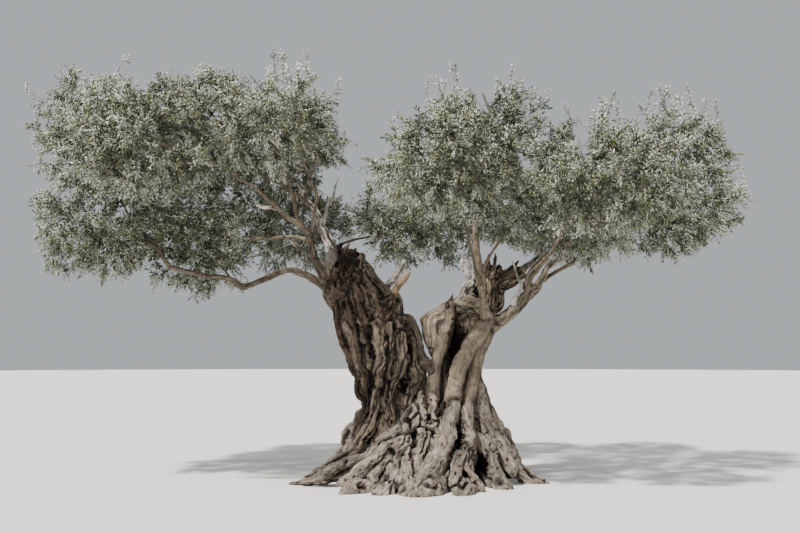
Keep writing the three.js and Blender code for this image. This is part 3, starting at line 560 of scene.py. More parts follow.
# The foliage
CROWN_FRONT = -2765
CROWN_BACK = 2920
CROWN_SKIN = (0.86, 0.99)  # where each shoot's own share of the crown's depth ends
BLEND = 4  # how tightly the masses' depths are blended: higher leaves deeper notches between them
SQUARENESS = 2.7  # 2 for round masses, more for squarer ones
SKIN_SWELL = 0.12  # how far the crown's skin swells and sinks
SKIN_SWELL_SIZE = 520
FINER_TWIGS = 1700  # in all, besides the source's own, dealt out by the room in each mass
SHOOTS = 20500  # leafy shoots in all
FINE_TWIG = (7, 3)  # radii of a finer twig at its start and end
FINER_DEPTH = (0.35, 0.88)
CROOKED = 0.03
LEAST_TWIG = 2.5
STEM_ROWS = 14
SHOOT_LENGTH = (110, 230)
SHOOT_THICK = 2.8
SHOOT_TAPER = (1, 0.75, 0.4)
SHOOT_TRIES = 3  # for each one wanted
SHOOT_AHEAD = 0.5  # how much it follows its twig, turns out of the mass and strays
SHOOT_OUT = 0.6
SHOOT_SPREAD = 0.75
SHOOT_RISE = 0.25
SHOOT_DROOP = 0.5  # in the lower part of a mass, where shoots hang
SHOOT_SWING = 0.22
SHOOT_SAG = 0.12
SHOOT_CLEAR = 12  # of the wood
HANG_BELOW = 0.35
HANG_SKIN = 0.18  # how much further out hanging shoots may reach
OVERLAP = -0.12  # how far a shoot may reach into the next mass, and out of its own
OVERREACH = 1.25
BARE_SHARE = 0.06  # of the shoots, without leaves
BARE_THICK = 1.8
WATER_SHOOTS = 60  # long upright ones off the crown's top
WATER_HEIGHTS = (3700, 4800)
WATER_SKIN = 0.97
WATER_ASIDE = 2250  # how far in front of and behind the middle they grow
WATER_STEP = (50, 150)
LEAF_PAIRS = 5
LEAF_LENGTH = 78
LEAF_WIDTH = 21
LEAF_SIZES = (0.72, 1.15)
LEAF_WIDTHS = (0.8, 1.15)
LEAF_LEAN = (1.0, 0.28, 0.45)  # radians from its shoot: the mean, the scatter, and how much less at the tip
LEAF_SAG = 0.12
LEAF_TURN = 0.5
LEAF_TILT = 0.45
LEAF_FOLD = 0.2
TIP_LEAF = 0.35  # how much shorter leaves are at a shoot's tip
TONE_MIX = 0.3  # how freely inner and outer tones mix
# Colours of the sprays from the crown's inside outwards, darker inside as painted shade and lighter outside
# as
# painted light: their leaves' upper and under side, and their share
LEAF_TONES = {
    # Near-black: painted shade deep in the crown
    "deep": ("#242b1c", "#565f49", 0.2),
    "green": ("#424e34", "#80886f", 0.18),
    "yellow": ("#747850", "#a0a07d", 0.08),
    "grey": ("#606b54", "#a5ab98", 0.18),
    "light": ("#7b846a", "#bbc0ad", 0.18),
    "silver": ("#98a08d", "#d3d7cd", 0.18),
}

# Gaps in the crown where the photograph shows sky or bare wood, as seen at y = 0: x, z, half width and half
# height, and how far back the foliage is kept out
GAPS = [
    (-1230, 2820, 330, 560, 900),
    (-2080, 2390, 850, 150, -150),
    (1940, 4130, 95, 400, 3000),
    (775, 4700, 120, 330, 3000),
    (1260, 3770, 70, 80, 3000),
    (-620, 4300, 170, 420, 3000),
    (-4980, 3050, 400, 620, 3000),
    (-1330, 3450, 250, 300, 420),
]


def linear(colour):
    """An sRGB hex colour as linear red, green and blue."""
    parts = [int(colour[at:at + 2], 16) / 255 for at in (1, 3, 5)]
    return [part / 12.92 if part <= 0.04045 else ((part + 0.055) / 1.055) ** 2.4 for part in parts]


def unit(vectors):
    return vectors / np.maximum(np.linalg.norm(vectors, axis=-1, keepdims=True), 1e-12)


def seeded(seed):
    """The source's small generator of numbers from 0 to 1."""
    state = (seed * 7919) & 0xFFFFFFFF

    def draw():
        nonlocal state
        state = (state * 1664525 + 1013904223) & 0xFFFFFFFF
        return state / 4294967296

    return draw


def curve_points(points, shares):
    """Places on the smooth curve through points, at shares of its way."""
    padded = np.vstack([2 * points[0] - points[1], points, 2 * points[-1] - points[-2]])
    way = np.clip(shares, 0, 1) * (len(points) - 1)
    at = np.minimum(way.astype(int), len(points) - 2)
    rest = (way - at)[:, None]
    before, here, ahead, after = (padded[at + step] for step in range(4))
    leave = (ahead - before) / 2
    arrive = (after - here) / 2
    square = -3 * here + 3 * ahead - 2 * leave - arrive
    cube = 2 * here - 2 * ahead + leave + arrive
    return here + leave * rest + square * rest**2 + cube * rest**3


def spine(stations, rows):
    """Points, directions and radii along stations [x, y, z, radius]."""
    table = np.array(stations, float)
    shares = np.arange(rows + 1) / rows
    points = curve_points(table[:, :3], shares)
    along = unit(curve_points(table[:, :3], shares + 1e-4) - curve_points(table[:, :3], shares - 1e-4))
    radii = np.interp(shares * (len(table) - 1), np.arange(len(table)), table[:, 3])
    return points, along, radii


# The wood


def ribbed(axis, ribs):
    """The core of a half of the trunk and the ribs that wind round it."""
    draw = seeded(ribs["seed"])
    found = [[(x, y, z, r * ribs["offset"]) for x, y, z, r in axis]]
    for number in range(ribs["count"]):
        swell = 1 + ribs["uneven"] * (draw() - 0.5)
        start = 2 * math.pi * (number + ribs["uneven"] * draw()) / ribs["count"] + ribs["turn"]
        rib = []
        for at, (x, y, z, r) in enumerate(axis):
            angle = start + ribs["twist"] * at / (len(axis) - 1)
            out = r * ribs["offset"]
            rib.append((x + out * math.cos(angle), y + out * math.sin(angle), z, r * ribs["size"] * swell))
        found.append(rib)
    return found


def root_stations(start, end):
    bends = []
    for share, drop in ROOT_BENDS:
        station = [a + (b - a) * share for a, b in zip(start, end)]
        station[2] = start[2] * drop
        bends.append(station)
    inside = (start[0] * 0.8, start[1] * 0.7, start[2] + ROOT_INSIDE, start[3] * 0.7)
    return [inside, start, *bends, end]


def frames(along):
    """Two directions across a strand at each sample, carried along it without twist."""
    sides = np.zeros_like(along)
    side = np.cross((0, 1, 0), along[0])
    if np.linalg.norm(side) < 0.1:
        side = np.cross((1, 0, 0), along[0])
    for at, way in enumerate(along):
        side = unit(side - way * side.dot(way))
        sides[at] = side
    return sides, np.cross(along, sides)


def bent(points, radii, share):
    """A strand's middle line with small bends of its own, true again at both ends."""
    held = np.sin(np.pi * np.linspace(0, 1, len(points))) ** 0.5
    most = np.minimum(radii, BEND_MOST) * held * share
    sway = np.column_stack([layered((points + shift) / BEND_SIZE, 2) for shift in BEND_SHIFTS])
    return points + sway * most[:, None]


def sampled(owner, kind, stations):
    """A strand of wood as closely spaced samples."""
    table = np.array(stations, float)
    length = np.linalg.norm(np.diff(table[:, :3], axis=0), axis=1).sum()
    points, along, radii = spine(stations, max(4, round(length / SAMPLE_STEP)))
    points = bent(points, radii, STEADY.get(kind, 1))
    along = unit(np.gradient(points, axis=0))
    run = np.concatenate([[0], np.cumsum(np.linalg.norm(np.diff(points, axis=0), axis=1))])
    side, other = frames(along)
    return dict(
        owner=owner, kind=kind, points=points, along=along, radii=radii, run=run, side=side, other=other
    )


def wound(rng, host, count, offset, size, turns, wander):
    """Thin cords that wind round a host strand and wander over its skin."""
    found = []
    rows = len(host["points"])
    pick = np.linspace(0, rows - 1, max(4, rows // CORD_STEP)).astype(int)
    for number in range(count):
        angle = 2 * math.pi * (number + rng.uniform(0, 0.6)) / count
        angle = angle + np.linspace(0, turns, len(pick)) + rng.normal(0, wander, len(pick))
        out = (host["radii"][pick] * offset * rng.uniform(0.92, 1.05))[:, None]
        around = np.cos(angle)[:, None] * host["side"][pick] + np.sin(angle)[:, None] * host["other"][pick]
        places = host["points"][pick] + out * around
        radii = host["radii"][pick] * size * rng.uniform(0.7, 1.25) * rng.uniform(0.8, 1.2, len(pick))
        found.append(sampled(host["owner"], host["kind"], np.column_stack([places, radii])))
    return found


def corded(rng, strand, *cords):
    return [strand, *wound(rng, strand, *cords)]


def make_strands():
    """Every strand of the wood, with the cords that wind round it."""
    rng = np.random.default_rng(7)
    strands = []
    halves = (LEFT_AXIS, LEFT_RIBS, "left_leader"), (RIGHT_AXIS, RIGHT_RIBS, "right_leader")
    for axis, ribs, owner in halves:
        core, *around = ribbed(axis, ribs)
        strands.append(sampled(owner, "leader", core))
        for stations in around:
            strands += corded(rng, sampled(owner, "leader", stations), *RIB_CORDS)
    for kind, stations in SKIN_STRANDS:
        strands += corded(rng, sampled("left_leader", kind, stations), *SKIN_CORDS)
    for stations in ROOT_STRANDS:
        strands.append(sampled("trunk", "root", stations))
    for stations in LEFT_BURRS:
        strands.append(sampled("left_leader", "leader", stations))
    for stations in (FRONT_STEM, SLIM_STEM):
        strands.append(sampled("right_leader", "smooth", stations))
    for stations in (EDGE_RIB, BACK_SHELL, BACK_SLAB):
        strands += corded(rng, sampled("right_leader", "leader", stations), *STEM_CORDS)
    strands.append(sampled("middle_stem", "smooth", MIDDLE_STEM))
    for start, end in ROOTS:
        root = sampled("trunk", "root", root_stations(start, end))
        strands += corded(rng, root, *ROOT_CORDS, rng.uniform(*ROOT_WINDING), CORD_WANDER)
    for owner, kind, stations in LIMBS + SNAGS:
        limb = sampled(owner, kind, stations)
        least = BOUGH_CORDED_FROM if kind in ("bough", "lichened") else CORDED_FROM
        if kind in LIMB_CORDS and limb["radii"].mean() >= least:
            strands += corded(rng, limb, *LIMB_CORDS[kind])
        else:
            strands.append(limb)
    return strands


def rounded(strand):
    """A strand's points and radii with its ends drawn in to domes, but for a sawn one."""
    points, radii, along = strand["points"], strand["radii"], strand["along"]
    head = [points[0] - along[0] * radii[0] * far for far, _ in END_SHAPE[::-1]]
    head_radii = [radii[0] * narrow for _, narrow in END_SHAPE[::-1]]
    if strand["owner"] in SAWN:
        return np.vstack([head, points]), np.concatenate([head_radii, radii])
    tail = [points[-1] + along[-1] * radii[-1] * far for far, _ in END_SHAPE]
    tail_radii = [radii[-1] * narrow for _, narrow in END_SHAPE]
    return np.vstack([head, points, tail]), np.concatenate([head_radii, radii, tail_radii])


def merged_skin(strands):
    """One closed skin round all the strands, cut flat at the ground."""
    curve = bpy.data.curves.new("strands", "CURVE")
    curve.dimensions = "3D"
    curve.bevel_depth = 1
    curve.bevel_resolution = 4
    curve.use_fill_caps = True
    for strand in strands:
        points, radii = rounded(strand)
        spline = curve.splines.new("POLY")
        spline.points.add(len(points) - 1)
        spline.points.foreach_set("co", np.column_stack([points * MM, np.ones(len(points))]).ravel())
        spline.points.foreach_set("radius", radii * MM)
    skin = bpy.data.objects.new("wood", curve)
    bpy.context.collection.objects.link(skin)
    choose(skin)
    bpy.ops.object.convert(target="MESH")
    skin = bpy.context.object
    remesh = skin.modifiers.new("merge", "REMESH")
    remesh.mode = "VOXEL"
    remesh.voxel_size = VOXEL * MM
    bpy.ops.object.modifier_apply(modifier=remesh.name)
    smooth = skin.modifiers.new("soften", "SMOOTH")
    smooth.factor = SOFTEN_SHARE
    smooth.iterations = SOFTEN_ROUNDS
    bpy.ops.object.modifier_apply(modifier=smooth.name)
    bpy.ops.object.mode_set(mode="EDIT")
    bpy.ops.mesh.select_all(action="SELECT")
    bpy.ops.mesh.bisect(plane_co=(0, 0, 0), plane_no=(0, 0, 1), use_fill=True, clear_inner=True)
    bpy.ops.mesh.select_all(action="SELECT")
    bpy.ops.mesh.quads_convert_to_tris()
    bpy.ops.mesh.select_all(action="DESELECT")
    bpy.ops.object.mode_set(mode="OBJECT")
    drop_loose_lumps(skin)
    return skin


def drop_loose_lumps(skin):
    """Keep only what hangs together with the skin's highest point."""
    vertices = np.empty(len(skin.data.vertices) * 3)
    skin.data.vertices.foreach_get("co", vertices)
    skin.data.vertices[int(np.argmax(vertices[2::3]))].select = True
    bpy.ops.object.mode_set(mode="EDIT")
    bpy.ops.mesh.select_linked()
    bpy.ops.mesh.select_all(action="INVERT")
    bpy.ops.mesh.delete(type="VERT")
    bpy.ops.object.mode_set(mode="OBJECT")


def choose(obj):
    bpy.ops.object.select_all(action="DESELECT")
    obj.select_set(True)
    bpy.context.view_layer.objects.active = obj


def arrays(mesh):
    """Vertices, their normals, the triangles and the edges of a mesh."""
    vertices = np.empty(len(mesh.vertices) * 3)
    mesh.vertices.foreach_get("co", vertices)
    normals = np.empty(len(mesh.vertices) * 3)
    mesh.vertices.foreach_get("normal", normals)
    corners = np.empty(len(mesh.loops), np.int32)
    mesh.loops.foreach_get("vertex_index", corners)
    edges = np.empty(len(mesh.edges) * 2, np.int32)
    mesh.edges.foreach_get("vertices", edges)
    return vertices.reshape(-1, 3), normals.reshape(-1, 3), corners.reshape(-1, 3), edges.reshape(-1, 2)


def nearest_strand(strands, places):
    """For each place, the strand with the nearest skin, its sample and how much further the next one is."""
    points = np.vstack([strand["points"] for strand in strands])
    radii = np.concatenate([strand["radii"] for strand in strands])
    owners = np.concatenate([np.full(len(strand["points"]), at) for at, strand in enumerate(strands)])
    tree = kdtree.KDTree(len(points))
    for at, point in enumerate(points):
        tree.insert(point, at)
    tree.balance()
    owner_of, radius_of = owners.tolist(), radii.tolist()
    best = np.empty(len(places), int)
    further = np.full(len(places), 1e3)
    for at, place in enumerate(places.tolist()):
        found = {}
        for _, hit, distance in tree.find_n(place, NEAREST_SAMPLES):
            gap = distance - radius_of[hit]
            owner = owner_of[hit]
            if owner not in found or gap < found[owner][0]:
                found[owner] = (gap, hit)
        nearest, *others = sorted(found.values())
        best[at] = nearest[1]
        if others:
            further[at] = others[0][0] - nearest[0]
    return owners[best], best, further


GRADIENTS = unit(np.random.default_rng(3).normal(size=(256, 3))).astype(np.float32)
SHUFFLED = np.random.default_rng(4).permutation(256)


def noise(places):
    """Smooth noise of about -1 to 1 over places, one cell to a unit."""
    base = np.floor(places).astype(np.int64)
    rest = (places - base).astype(np.float32)
    ease = rest**3 * (rest * (rest * 6 - 15) + 10)
    total = np.zeros(len(places), np.float32)
    for corner in np.ndindex(2, 2, 2):
        cell = base + corner
        pick = SHUFFLED[cell[:, 0] & 255]
        pick = SHUFFLED[(pick + cell[:, 1]) & 255]
        pick = SHUFFLED[(pick + cell[:, 2]) & 255]
        slope = ((rest - np.array(corner, np.float32)) * GRADIENTS[pick]).sum(axis=1)
        share = np.where(corner, ease, 1 - ease).prod(axis=1)
        total += slope * share
    return total * NOISE_GAIN


def layered(places, octaves):
    total = 0
    for octave in range(octaves):
        total = total + noise(places * 2**octave + 17 * octave) / 2**octave
    return total


def crack(values, width):
    """1 in the middle of a narrow line where values cross 0, falling to 0 beside it."""
    return np.clip(1 - np.abs(values) / width, 0, 1) ** 1.5


def spread(values, edges, rounds):
    """Averages values over neighbouring vertices, round after round."""
    ends = np.concatenate([edges[:, 0], edges[:, 1]])
    others = np.concatenate([edges[:, 1], edges[:, 0]])
    order = np.argsort(ends, kind="stable")
    others = others[order]
    counts = np.bincount(ends, minlength=len(values))
    firsts = np.concatenate([[0], np.cumsum(counts)[:-1]])
    for _ in range(rounds):
        around = np.add.reduceat(values[others], firsts, axis=0)
        values = SPREAD_KEPT * values + (1 - SPREAD_KEPT) * around / counts[:, None]
    return values


def kind_table(strands, which, edges):
    """What its kind of wood gives each place, evened out where one kind meets another."""
    rows = []
    share = np.random.default_rng(12).uniform(*STRAND_LIGHT, len(strands))
    for strand, light in zip(strands, share):
        # A kind's ridge colour, and its dark colour, which paints shade in the hollows
        *relief, ridge, painted_shade = KINDS[strand["kind"]]
        rows.append([*relief, *(light * part for part in (*linear(ridge), *linear(painted_shade)))])
    table = spread(np.array(rows, np.float32)[which], edges, KIND_SPREAD)
    settings = {name: table[:, at] for at, name in enumerate(RELIEF)}
    return settings, table[:, len(RELIEF):len(RELIEF) + 3], table[:, len(RELIEF) + 3:]


def grain_of(strands, which, near, places):
    """Places as the grain has them: two measures round each strand and one along it."""
    offset = places - near["points"]
    forward = (offset * near["along"]).sum(axis=1)
    around = unit(offset - near["along"] * forward[:, None])
    mean_radius = np.array([strand["radii"].mean() for strand in strands])[which]
    return np.column_stack([
        (around * near["side"]).sum(axis=1) * mean_radius + which * GRAIN_SHIFTS[0],
        (around * near["other"]).sum(axis=1) * mean_radius + which * GRAIN_SHIFTS[1],
        near["run"] + forward,
    ])


def bark_forms(settings, places, grain):
    """Fissures, ropes and wrinkles that follow the grain, and lumps and pits that don't."""
    scaled = grain / settings["width"][:, None]
    scaled[:, 2] /= settings["stretch"]
    sway = noise(places / SWAY_SIZE)[:, None] * SWAY
    fissures = crack(layered(scaled + sway, 3), FISSURE_WIDTH)
    ropes = noise(scaled * ROPE_SIZE + 40)
    lumps = layered(places / settings["lump_size"][:, None], 3)
    pits = np.clip(layered(places / PIT_SIZE + 90, 2) - PIT_RARITY, 0, 1)
    wrinkles = noise(grain / WRINKLE_SIZES)
    return fissures, ropes, lumps, pits, wrinkles


def cut_grooves(places, height):
    """Cuts the grooves into the relief and returns how deep in one each place lies."""
    sunk = np.zeros(len(places))
    for wide, deep, way in GROOVES:
        path = curve_points(np.array(way, float), np.linspace(0, 1, GROOVE_SAMPLES))
        beside = (places > path.min(axis=0) - wide) & (places < path.max(axis=0) + wide)
        near = np.flatnonzero(beside.all(axis=1))
        gap = np.sqrt(((places[near, None] - path[None]) ** 2).sum(axis=2).min(axis=1))
        ragged = np.clip(1 + GROOVE_RAGGED * layered(places[near] / RAGGED_SIZE, 2), *RAGGED)
        inside = np.clip(1 - (gap / wide) ** 2 * ragged, 0, 1)
        height[near] -= inside * deep
        # How deep in the groove, for the painted shade there
        sunk[near] = np.maximum(sunk[near], inside * SHADE["groove"])
    return sunk


def push_dents(places, normals, moved, sunk):
    """Pushes the dents in from the front and returns how deep in one, or in a groove, each place lies."""
    roughly = layered(places / DENT_RAGGED_SIZE, 2)
    for middle, reach, push in DENTS:
        ragged = np.clip(1 + roughly * RAGGED_SIZE / min(reach), *RAGGED)
        inside = np.clip(1 - (((places - middle) / reach) ** 2).sum(axis=1) * ragged, 0, 1) ** 0.7
        inside[normals[:, 1] > 0.2] = 0
        moved += inside[:, None] * push
        sunk = np.maximum(sunk, inside)
    return sunk


def wood_relief(strands, vertices, normals, edges):
    """Moves the skin into its bark and returns its colours, painted shade in its hollows included, its grain
    and roughness.
    """
    places = vertices / MM
    which, sample, further = nearest_strand(strands, places)
    settings, ridge_colour, painted_shade_colour = kind_table(strands, which, edges)
    near = {
        name: np.concatenate([strand[name] for strand in strands])[sample]
        for name in ("points", "along", "side", "other", "radii", "run")
    }
    grain = grain_of(strands, which, near, places)
    fissures, ropes, lumps, pits, wrinkles = bark_forms(settings, places, grain)
    fine = np.clip(near["radii"] / FULL_RELIEF, LEAST_RELIEF, 1)
    height = ropes * settings["rope"] + lumps * settings["lump"] - fissures * settings["fissure"]
    height += wrinkles * settings["wrinkle"] - pits * settings["pit"] * PIT_DEPTH
    crease = np.clip(1 - further / (CREASE_WIDTH * fine), 0, 1) ** 1.5
    height = (height - crease * settings["crease"]) * fine
    sunk = cut_grooves(places, height)
    moved = places + normals * height[:, None]
    sunk = push_dents(places, normals, moved, sunk)
    on_ground = places[:, 2] < 1
    moved[on_ground, 2] = 0
    moved[:, 2] = np.maximum(moved[:, 2], 0)
    # Painted shade: the colour runs from the ridge colour to the near-black shade colour in fissures, rope
    # hollows, pits, creases, grooves, dents and wrinkles, and lightens on lumps
    depth = fissures * SHADE["fissure"] + np.clip(-ropes, 0, 1) * SHADE["rope"] + pits * SHADE["pit"]
    depth = depth + crease * SHADE["crease"] + sunk * SHADE["sunk"]
    depth += np.clip(-wrinkles, 0, 1) * settings["wrinkle"] * SHADE["wrinkle"]
    depth = depth * np.clip(settings["fissure"] / 6, 0.45, 1) - lumps * SHADE["lump"]
    depth = np.clip(depth, 0, 1)[:, None]
    mottle = 1 + MOTTLE[0] * noise(places / MOTTLE_SIZES[0]) + MOTTLE[1] * noise(places / MOTTLE_SIZES[1])
    colours = (ridge_colour * (1 - depth) + painted_shade_colour * depth) * mottle[:, None]
    return moved * MM, which, grain * MM, colours, settings["roughness"]


def new_mesh(name, vertices, triangles):
    mesh = bpy.data.meshes.new(name)
    mesh.vertices.add(len(vertices))
    mesh.vertices.foreach_set("co", np.ascontiguousarray(vertices, np.float32).ravel())
    mesh.loops.add(len(triangles) * 3)
    mesh.loops.foreach_set("vertex_index", np.ascontiguousarray(triangles, np.int32).ravel())
    mesh.polygons.add(len(triangles))
    mesh.polygons.foreach_set("loop_start", np.arange(0, len(triangles) * 3, 3, dtype=np.int32))
    mesh.update(calc_edges=True)
    return mesh


def new_piece(name, mesh, nodes, materials):
    piece = bpy.data.objects.new(name, mesh)
    bpy.context.collection.objects.link(piece)
    for material in materials:
        mesh.materials.append(material)
    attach(piece, "root")
    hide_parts(*nodes)
    return piece


def give(mesh, name, kind, field, values):
    """Gives each vertex its value of an attribute."""
    mesh.attributes.new(name, kind, "POINT").data.foreach_set(field, values.astype(np.float32).ravel())


def smooth_normals(vertices, triangles):
    corners = vertices[triangles]
    faces = np.cross(corners[:, 1] - corners[:, 0], corners[:, 2] - corners[:, 0])
    normals = np.zeros_like(vertices)
    for corner in range(3):
        np.add.at(normals, triangles[:, corner], faces)
    return unit(normals)


def piece_of(names, owner, triangles, height):
    """The piece that each triangle goes to: its strand's, but for the trunk, which is parted by height."""
    face_owner = owner[triangles].min(axis=1)
    level = height[triangles].mean(axis=1)
    face_owner[level < FORK_HEIGHT] = names.index("trunk")
    face_owner[level < ROOT_LEVEL] = names.index("roots")
    above = (level >= FORK_HEIGHT) & (face_owner == names.index("trunk"))
    face_owner[above] = names.index("left_leader")
    return face_owner


def make_wood(materials):
    strands = make_strands()
    skin = merged_skin(strands)
    vertices, normals, triangles, edges = arrays(skin.data)
    bpy.data.objects.remove(skin)
    moved, which, grain, colours, roughness = wood_relief(strands, vertices, normals, edges)
    normals = smooth_normals(moved, triangles)
    names = ["roots", "trunk", "left_leader", "right_leader", "middle_stem", *(limb[0] for limb in LIMBS)]
    owner = np.array([names.index(strand["owner"]) for strand in strands])[which]
    face_owner = piece_of(names, owner, triangles, moved[:, 2] / MM)
    kinds = {owner: kind for owner, kind, _ in LIMBS}
    for number, name in enumerate(names):
        mine = triangles[face_owner == number]
        if len(mine) == 0:
            continue
        used, corners = np.unique(mine, return_inverse=True)
        mesh = new_mesh("bark_" + name, moved[used], corners.reshape(-1, 3))
        give(mesh, "bark", "FLOAT_COLOR", "color", np.column_stack([colours[used], np.ones(len(used))]))
        give(mesh, "grain", "FLOAT_VECTOR", "vector", grain[used])
        give(mesh, "roughness", "FLOAT", "value", roughness[used])
        mesh.shade_smooth()
        mesh.normals_split_custom_set_from_vertices(normals[used])
        slot = "dead_wood" if kinds.get(name) in DEAD_KINDS else "bark"
        node = "trunk" if name == "roots" else name
        new_piece("bark_" + name, mesh, [node], [materials[slot]])


# The foliage


def space_depth(mass, places):
    _, centre, reach, _ = mass
    return np.linalg.norm((places - np.array(centre)) / np.array(reach), axis=-1)


def in_space(mass, places, margin=SPACE_MARGIN, furthest=1):
    """Whether places are within a mass and deeper in it than in any other."""
    depth = space_depth(mass, places)
    free = depth <= furthest
    for other in MASSES:
        if other is not mass:
            free &= space_depth(other, places) > depth + margin
    return free


def crown_depth(places):
    """How far out in the whole crown places lie: the masses, a little squarer, blended where they meet."""
    depths = []
    for _, centre, reach, _ in MASSES:
        offset = np.abs((places - np.array(centre)) / np.array(reach))
        depths.append((offset**SQUARENESS).sum(axis=1) ** (1 / SQUARENESS))
    return -np.log(np.exp(-BLEND * np.array(depths)).sum(axis=0)) / BLEND


def wood_balls():
    """Balls along the limbs, the trunk's halves and every mass's stem, with the mass each belongs to."""
    balls = []
    for stations in [stations for _, _, stations in LIMBS] + [LEFT_AXIS, RIGHT_AXIS]:
        points, _, radii = spine(stations, (len(stations) - 1) * BALLS_PER_STATION)
        balls += [(*point, radius, -1) for point, radius in zip(points, radii)]
    for number, mass in enumerate(MASSES):
        points, _, radii = spine(stations_of(stem_of(mass)), BALLS_ON_STEM)
        balls += [(*point, radius, number) for point, radius in zip(points, radii)]
    return np.array(balls)


def clear_of_wood(balls, number, places, margin):
    others = balls[balls[:, 4] != number]
    clear = np.ones(len(places), bool)
    for first in range(0, len(places), 4000):
        part = slice(first, first + 4000)
        gaps = np.linalg.norm(places[part, None] - others[None, :, :3], axis=2) - others[:, 3]
        clear[part] = gaps.min(axis=1) >= margin
    return clear


def limb_tip(name):
    stations = next(stations for limb, _, stations in LIMBS if limb == name)
    points, along, radii = spine(stations, len(stations) - 1)
    return points[-1], along[-1], radii[-1]


def stem_of(mass):
    """The stem of a mass, from just inside its bough's tip to near its middle."""
    _, centre, _, fed_by = mass
    point, along, radius = limb_tip(fed_by)
    start = point - along * STEM_SUNK
    end = start + (np.array(centre) - start) * STEM_REACH
    bend = start + along * np.linalg.norm(end - start) * STEM_BEND
    found = []
    for t in STEM_PLACES:
        place = start * (1 - t) ** 2 + bend * 2 * t * (1 - t) + end * t**2
        way = unit((bend - start) * (1 - t) + (end - bend) * t)
        found.append((place, way, radius * STEM_START * (1 - t) + STEM_END * t))
    return found


def stations_of(stem):
    return [(*point, radius) for point, _, radius in stem]


def shell_points(count, turn):
    number = np.arange(count)
    up = 1 - (2 * number + 1) / count
    angle = number * math.pi * (3 - math.sqrt(5)) + turn
    out = np.sqrt(1 - up**2)
    return np.column_stack([out * np.cos(angle), out * np.sin(angle), up])


def ball_points(count, seed):
    found = []
    number = 1
    while len(found) < count:
        steps = np.array([seed * SEED_SHIFT + number / EVEN_STEP**power for power in (1, 2, 3)])
        place = 2 * (steps % 1) - 1
        if np.linalg.norm(place) < 1:
            found.append(place)
        number += 1
    return np.array(found)


def segments_free(number, balls, starts, end, margin=WOOD_MARGIN):
    """Whether the way from each start to the end keeps to the space and clear of wood."""
    shares = (np.arange(FREE_STEPS) + 1)[:, None, None] / FREE_STEPS
    places = (starts[None] * (1 - shares) + end * shares).reshape(-1, 3)
    free = in_space(MASSES[number], places)
    free[free] = clear_of_wood(balls, number, places[free], margin)
    return free.reshape(FREE_STEPS, -1).all(axis=0)


def branch(number, balls, nodes, target, first_radius, last_radius):
    """Joins a target to the node that it is best reached from; returns the new twig or None."""
    points = np.array([node[0] for node in nodes])
    ways = target - points
    distance = np.linalg.norm(ways, axis=1)
    turn = (ways * np.array([node[1] for node in nodes])).sum(axis=1) / distance
    cost = distance * (1 + TURN_COST - TURN_COST * turn)
    order = np.argsort(cost)[:12]
    free = segments_free(number, balls, points[order], target)
    if not free.any():
        return None
    start, _, radius = nodes[order[np.argmax(free)]]
    thick = max(min(radius * TWIG_SUNK, first_radius), LEAST_TWIG)
    thin = min(last_radius, thick)
    heading = unit(target - start)
    for t in NODE_PLACES:
        nodes.append((start + (target - start) * t, heading, thick * (1 - t) + thin * t))
    return start, target, thick, thin


def room_shares():
    """Each mass's share of the room that the crown fills."""
    tries = np.random.default_rng(2).uniform(-1, 1, (3000, 3))
    rooms = []
    for mass in MASSES:
        centre, reach = np.array(mass[1]), np.array(mass[2])
        rooms.append(in_space(mass, centre + tries * reach, 0).mean() * reach.prod())
    return np.array(rooms) / sum(rooms)


def grow_mass(number, balls, share):
    """Every twig and leafy shoot of a mass that has a share of the crown's room."""
    mass = MASSES[number]
    _, centre, reach, _ = mass
    centre, reach = np.array(centre), np.array(reach)
    rng = np.random.default_rng(100 + number)
    stem = stem_of(mass)
    nodes = stem[1:]
    ends = np.vstack([
        ball_points(INNER_TWIGS, number + 1) * INNER_DEPTH,
        shell_points(SHELL_TWIGS, number + 1) * SHELL_DEPTH,
    ])
    twigs = []
    count = round(FINER_TWIGS * share)
    finer = shell_points(count, number) * rng.uniform(*FINER_DEPTH, (count, 1))
    for targets, thick, thin in ((ends, TWIG_START, TWIG_END), (finer, *FINE_TWIG)):
        places = centre + targets * reach
        places = places[in_space(mass, places)]
        places = places[clear_of_wood(balls, number, places, WOOD_MARGIN)]
        order = np.argsort(np.linalg.norm(places - stem[0][0], axis=1))
        for target in places[order]:
            twig = branch(number, balls, nodes, target, thick, thin)
            if twig:
                twigs.append(crooked(rng, *twig))
    points, _, radii = spine(stations_of(stem), STEM_ROWS)
    return (points, radii), twigs, leafy_shoots(rng, number, balls, twigs, round(SHOOTS * share))


def crooked(rng, start, end, thick, thin):
    """A twig as points and radii: true to its line where others branch off, and bent between."""
    shares = np.array([0, 0.2, *NODE_PLACES[:1], 0.55, NODE_PLACES[1], 0.85, 1])
    way = end - start
    points = start + shares[:, None] * way
    points[1::2] += rng.normal(0, CROOKED * np.linalg.norm(way), (3, 3))
    return points, thick + (thin - thick) * shares


